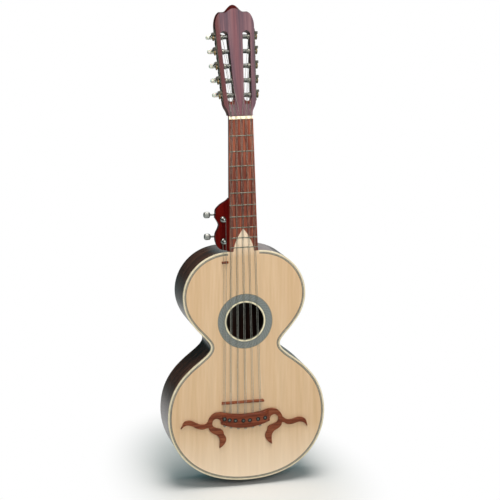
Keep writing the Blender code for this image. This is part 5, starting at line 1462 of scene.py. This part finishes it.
def saddle_section(cut):
    crest = -SADDLE_HEIGHT - 0.5 * MM + 0.25 * MM * cut
    return matched_sides(SADDLE_AT, [(-HAIR, 2.5 * MM), (-SADDLE_HEIGHT * 0.5, 2 * MM),
                                     (-SADDLE_HEIGHT * 0.88, 1.3 * MM), (crest + 0.15 * MM, 0.7 * MM),
                                     (crest, 0.2 * MM)])


bm = bmesh.new()
add_skin(bm, grooved_bar(saddle_places, SADDLE_LEFT, SADDLE_RIGHT, SHALLOW_GROOVE_HALF, saddle_section))
make_piece("floating_saddle", bm, [bridge_wood], ["saddle_bar"])

# The little nut: a small bar of the bridge's wood, glued to the soundboard under the short course, with a
# shallow groove for each of its two strings.
LITTLE_NUT_Z = -258.6 * MM
LITTLE_NUT_HEIGHT = 3.6 * MM
LITTLE_NUT_LEFT = -41 * MM
LITTLE_NUT_RIGHT = -29.5 * MM
SHORT_NUT_PLACES = (-38 * MM, -33.6 * MM)


def little_nut_section(cut):
    crest = -LITTLE_NUT_HEIGHT - 0.5 * MM + 0.4 * MM * cut
    return matched_sides(LITTLE_NUT_Z, [(-HAIR, 2 * MM), (-LITTLE_NUT_HEIGHT * 0.8, 1.7 * MM),
                                        (crest + 0.15 * MM, 1 * MM), (crest, 0.4 * MM)])


bm = bmesh.new()
add_skin(bm, grooved_bar(SHORT_NUT_PLACES, LITTLE_NUT_LEFT, LITTLE_NUT_RIGHT, SHALLOW_GROOVE_HALF,
                         little_nut_section))
make_piece("glued_little_nut", bm, [bridge_wood], ["little_nut"])

# The strings: twelve of drawn steel, five double courses on the long neck and one short double course, taut
# from their balls at the bridge over the saddle and their nut. Each ends in turns round its roller or post.
STRING_AT_SADDLE = -8 * MM
STRING_AT_LITTLE_NUT = -4.4 * MM
BRIDGE_HOLE_DEPTH = 4 * MM
BALL_RADIUS = 1.15 * MM
BALL_LENGTH = 2.6 * MM
BALL_DROP = 3.2 * MM
THIN_RADIUS = 0.34 * MM
THICK_RADIUS = 0.45 * MM
STRING_SIDES = 10
WRAP_ANGLE = radians(240)
WRAP_LEAD = 2 * MM
POST_TURNS = 2.5
POST_WRAP_WIDTH = 1.8 * MM


def add_tube(bm, path, sides):
    """A round wire along a path of (point, radius)."""
    points = [Vector(point) for point, radius in path]
    rings = []
    across = Vector((1, 0, 0))
    for i, (point, radius) in enumerate(path):
        along = (points[min(i + 1, len(points) - 1)] - points[max(i - 1, 0)]).normalized()
        across = (across - along * across.dot(along)).normalized()
        other = along.cross(across)
        rings.append([points[i] + across * dx + other * dy for dx, dy in circle(radius, sides)])
    add_skin(bm, rings)


def string_start(x, radius):
    """Ball, bridge hole and saddle crossing of the string at x."""
    end = bridge_lower(x - BRIDGE_X)
    ball = [(0.0, 0.35), (0.15, 0.85), (0.35, 1.0), (0.65, 1.0), (0.85, 0.85), (1.0, 0.45)]
    hole = [(end - BALL_DROP + BALL_LENGTH * share, BALL_RADIUS * swell) for share, swell in ball]
    hole += [(end - 0.5 * MM, radius), (bridge_upper(x - BRIDGE_X), radius)]
    path = [((x, -BRIDGE_HOLE_DEPTH, z), size) for z, size in hole]
    return path + [((x, STRING_AT_SADDLE, SADDLE_AT), radius)]


def wrapped_end(place, reach, radius):
    """The last stretch of a string, two thirds of a turn round its roller's winding."""
    path = []
    for i in range(25):
        angle = WRAP_ANGLE * i / 24
        x = -WRAP_FROM_EDGE + WRAP_LEAD * i / 24
        path.append((place @ Vector((x, -reach * cos(angle), reach * sin(angle))), radius))
    return path


# The machines are counted up from the nut, so the treble strings take their side's from the last to the
# first.
at_nut = pair_places(COURSE_SPACING_NUT, PAIR_SPACING_NUT)
for i, site in enumerate(LONG_SITES[:5] + LONG_SITES[:4:-1]):
    radius = THICK_RADIUS if i % 2 == 0 and i < 6 else THIN_RADIUS
    path = string_start(at_saddle[i], radius)
    path.append(((at_nut[i], STRING_AT_NUT, 0), radius))
    path += wrapped_end(long_machine(site), ROLLER_RADIUS + 2 * WIRE_RADIUS + radius, radius)
    bm = bmesh.new()
    add_tube(bm, path, STRING_SIDES)
    make_piece(f"steel_string_{i + 1}", bm, [steel], [f"string_{i + 1}"], sharp=60)

wrap_depth = SIDE_FRONT - 1 * MM - POST_HEIGHT * 0.55
for i, (post, hand) in enumerate(((2, -1), (1, 1))):
    place = machine_frame(f"short_post_{post}", f"short_worm_{post}")
    centre = place.to_translation()
    reach = POST_RADIUS + THIN_RADIUS
    path = string_start(short_places[i], THIN_RADIUS)
    path.append(((SHORT_NUT_PLACES[i], STRING_AT_LITTLE_NUT, LITTLE_NUT_Z), THIN_RADIUS))
    for step in range(49):
        angle = 2 * pi * POST_TURNS * step / 48
        path.append(((centre.x + hand * reach * cos(angle), wrap_depth + POST_WRAP_WIDTH * step / 48,
                      centre.z + reach * sin(angle)), THIN_RADIUS))
    bm = bmesh.new()
    add_tube(bm, path, STRING_SIDES)
    make_piece(f"steel_short_string_{i + 1}", bm, [steel], [f"short_string_{i + 1}"],
               sharp=60)
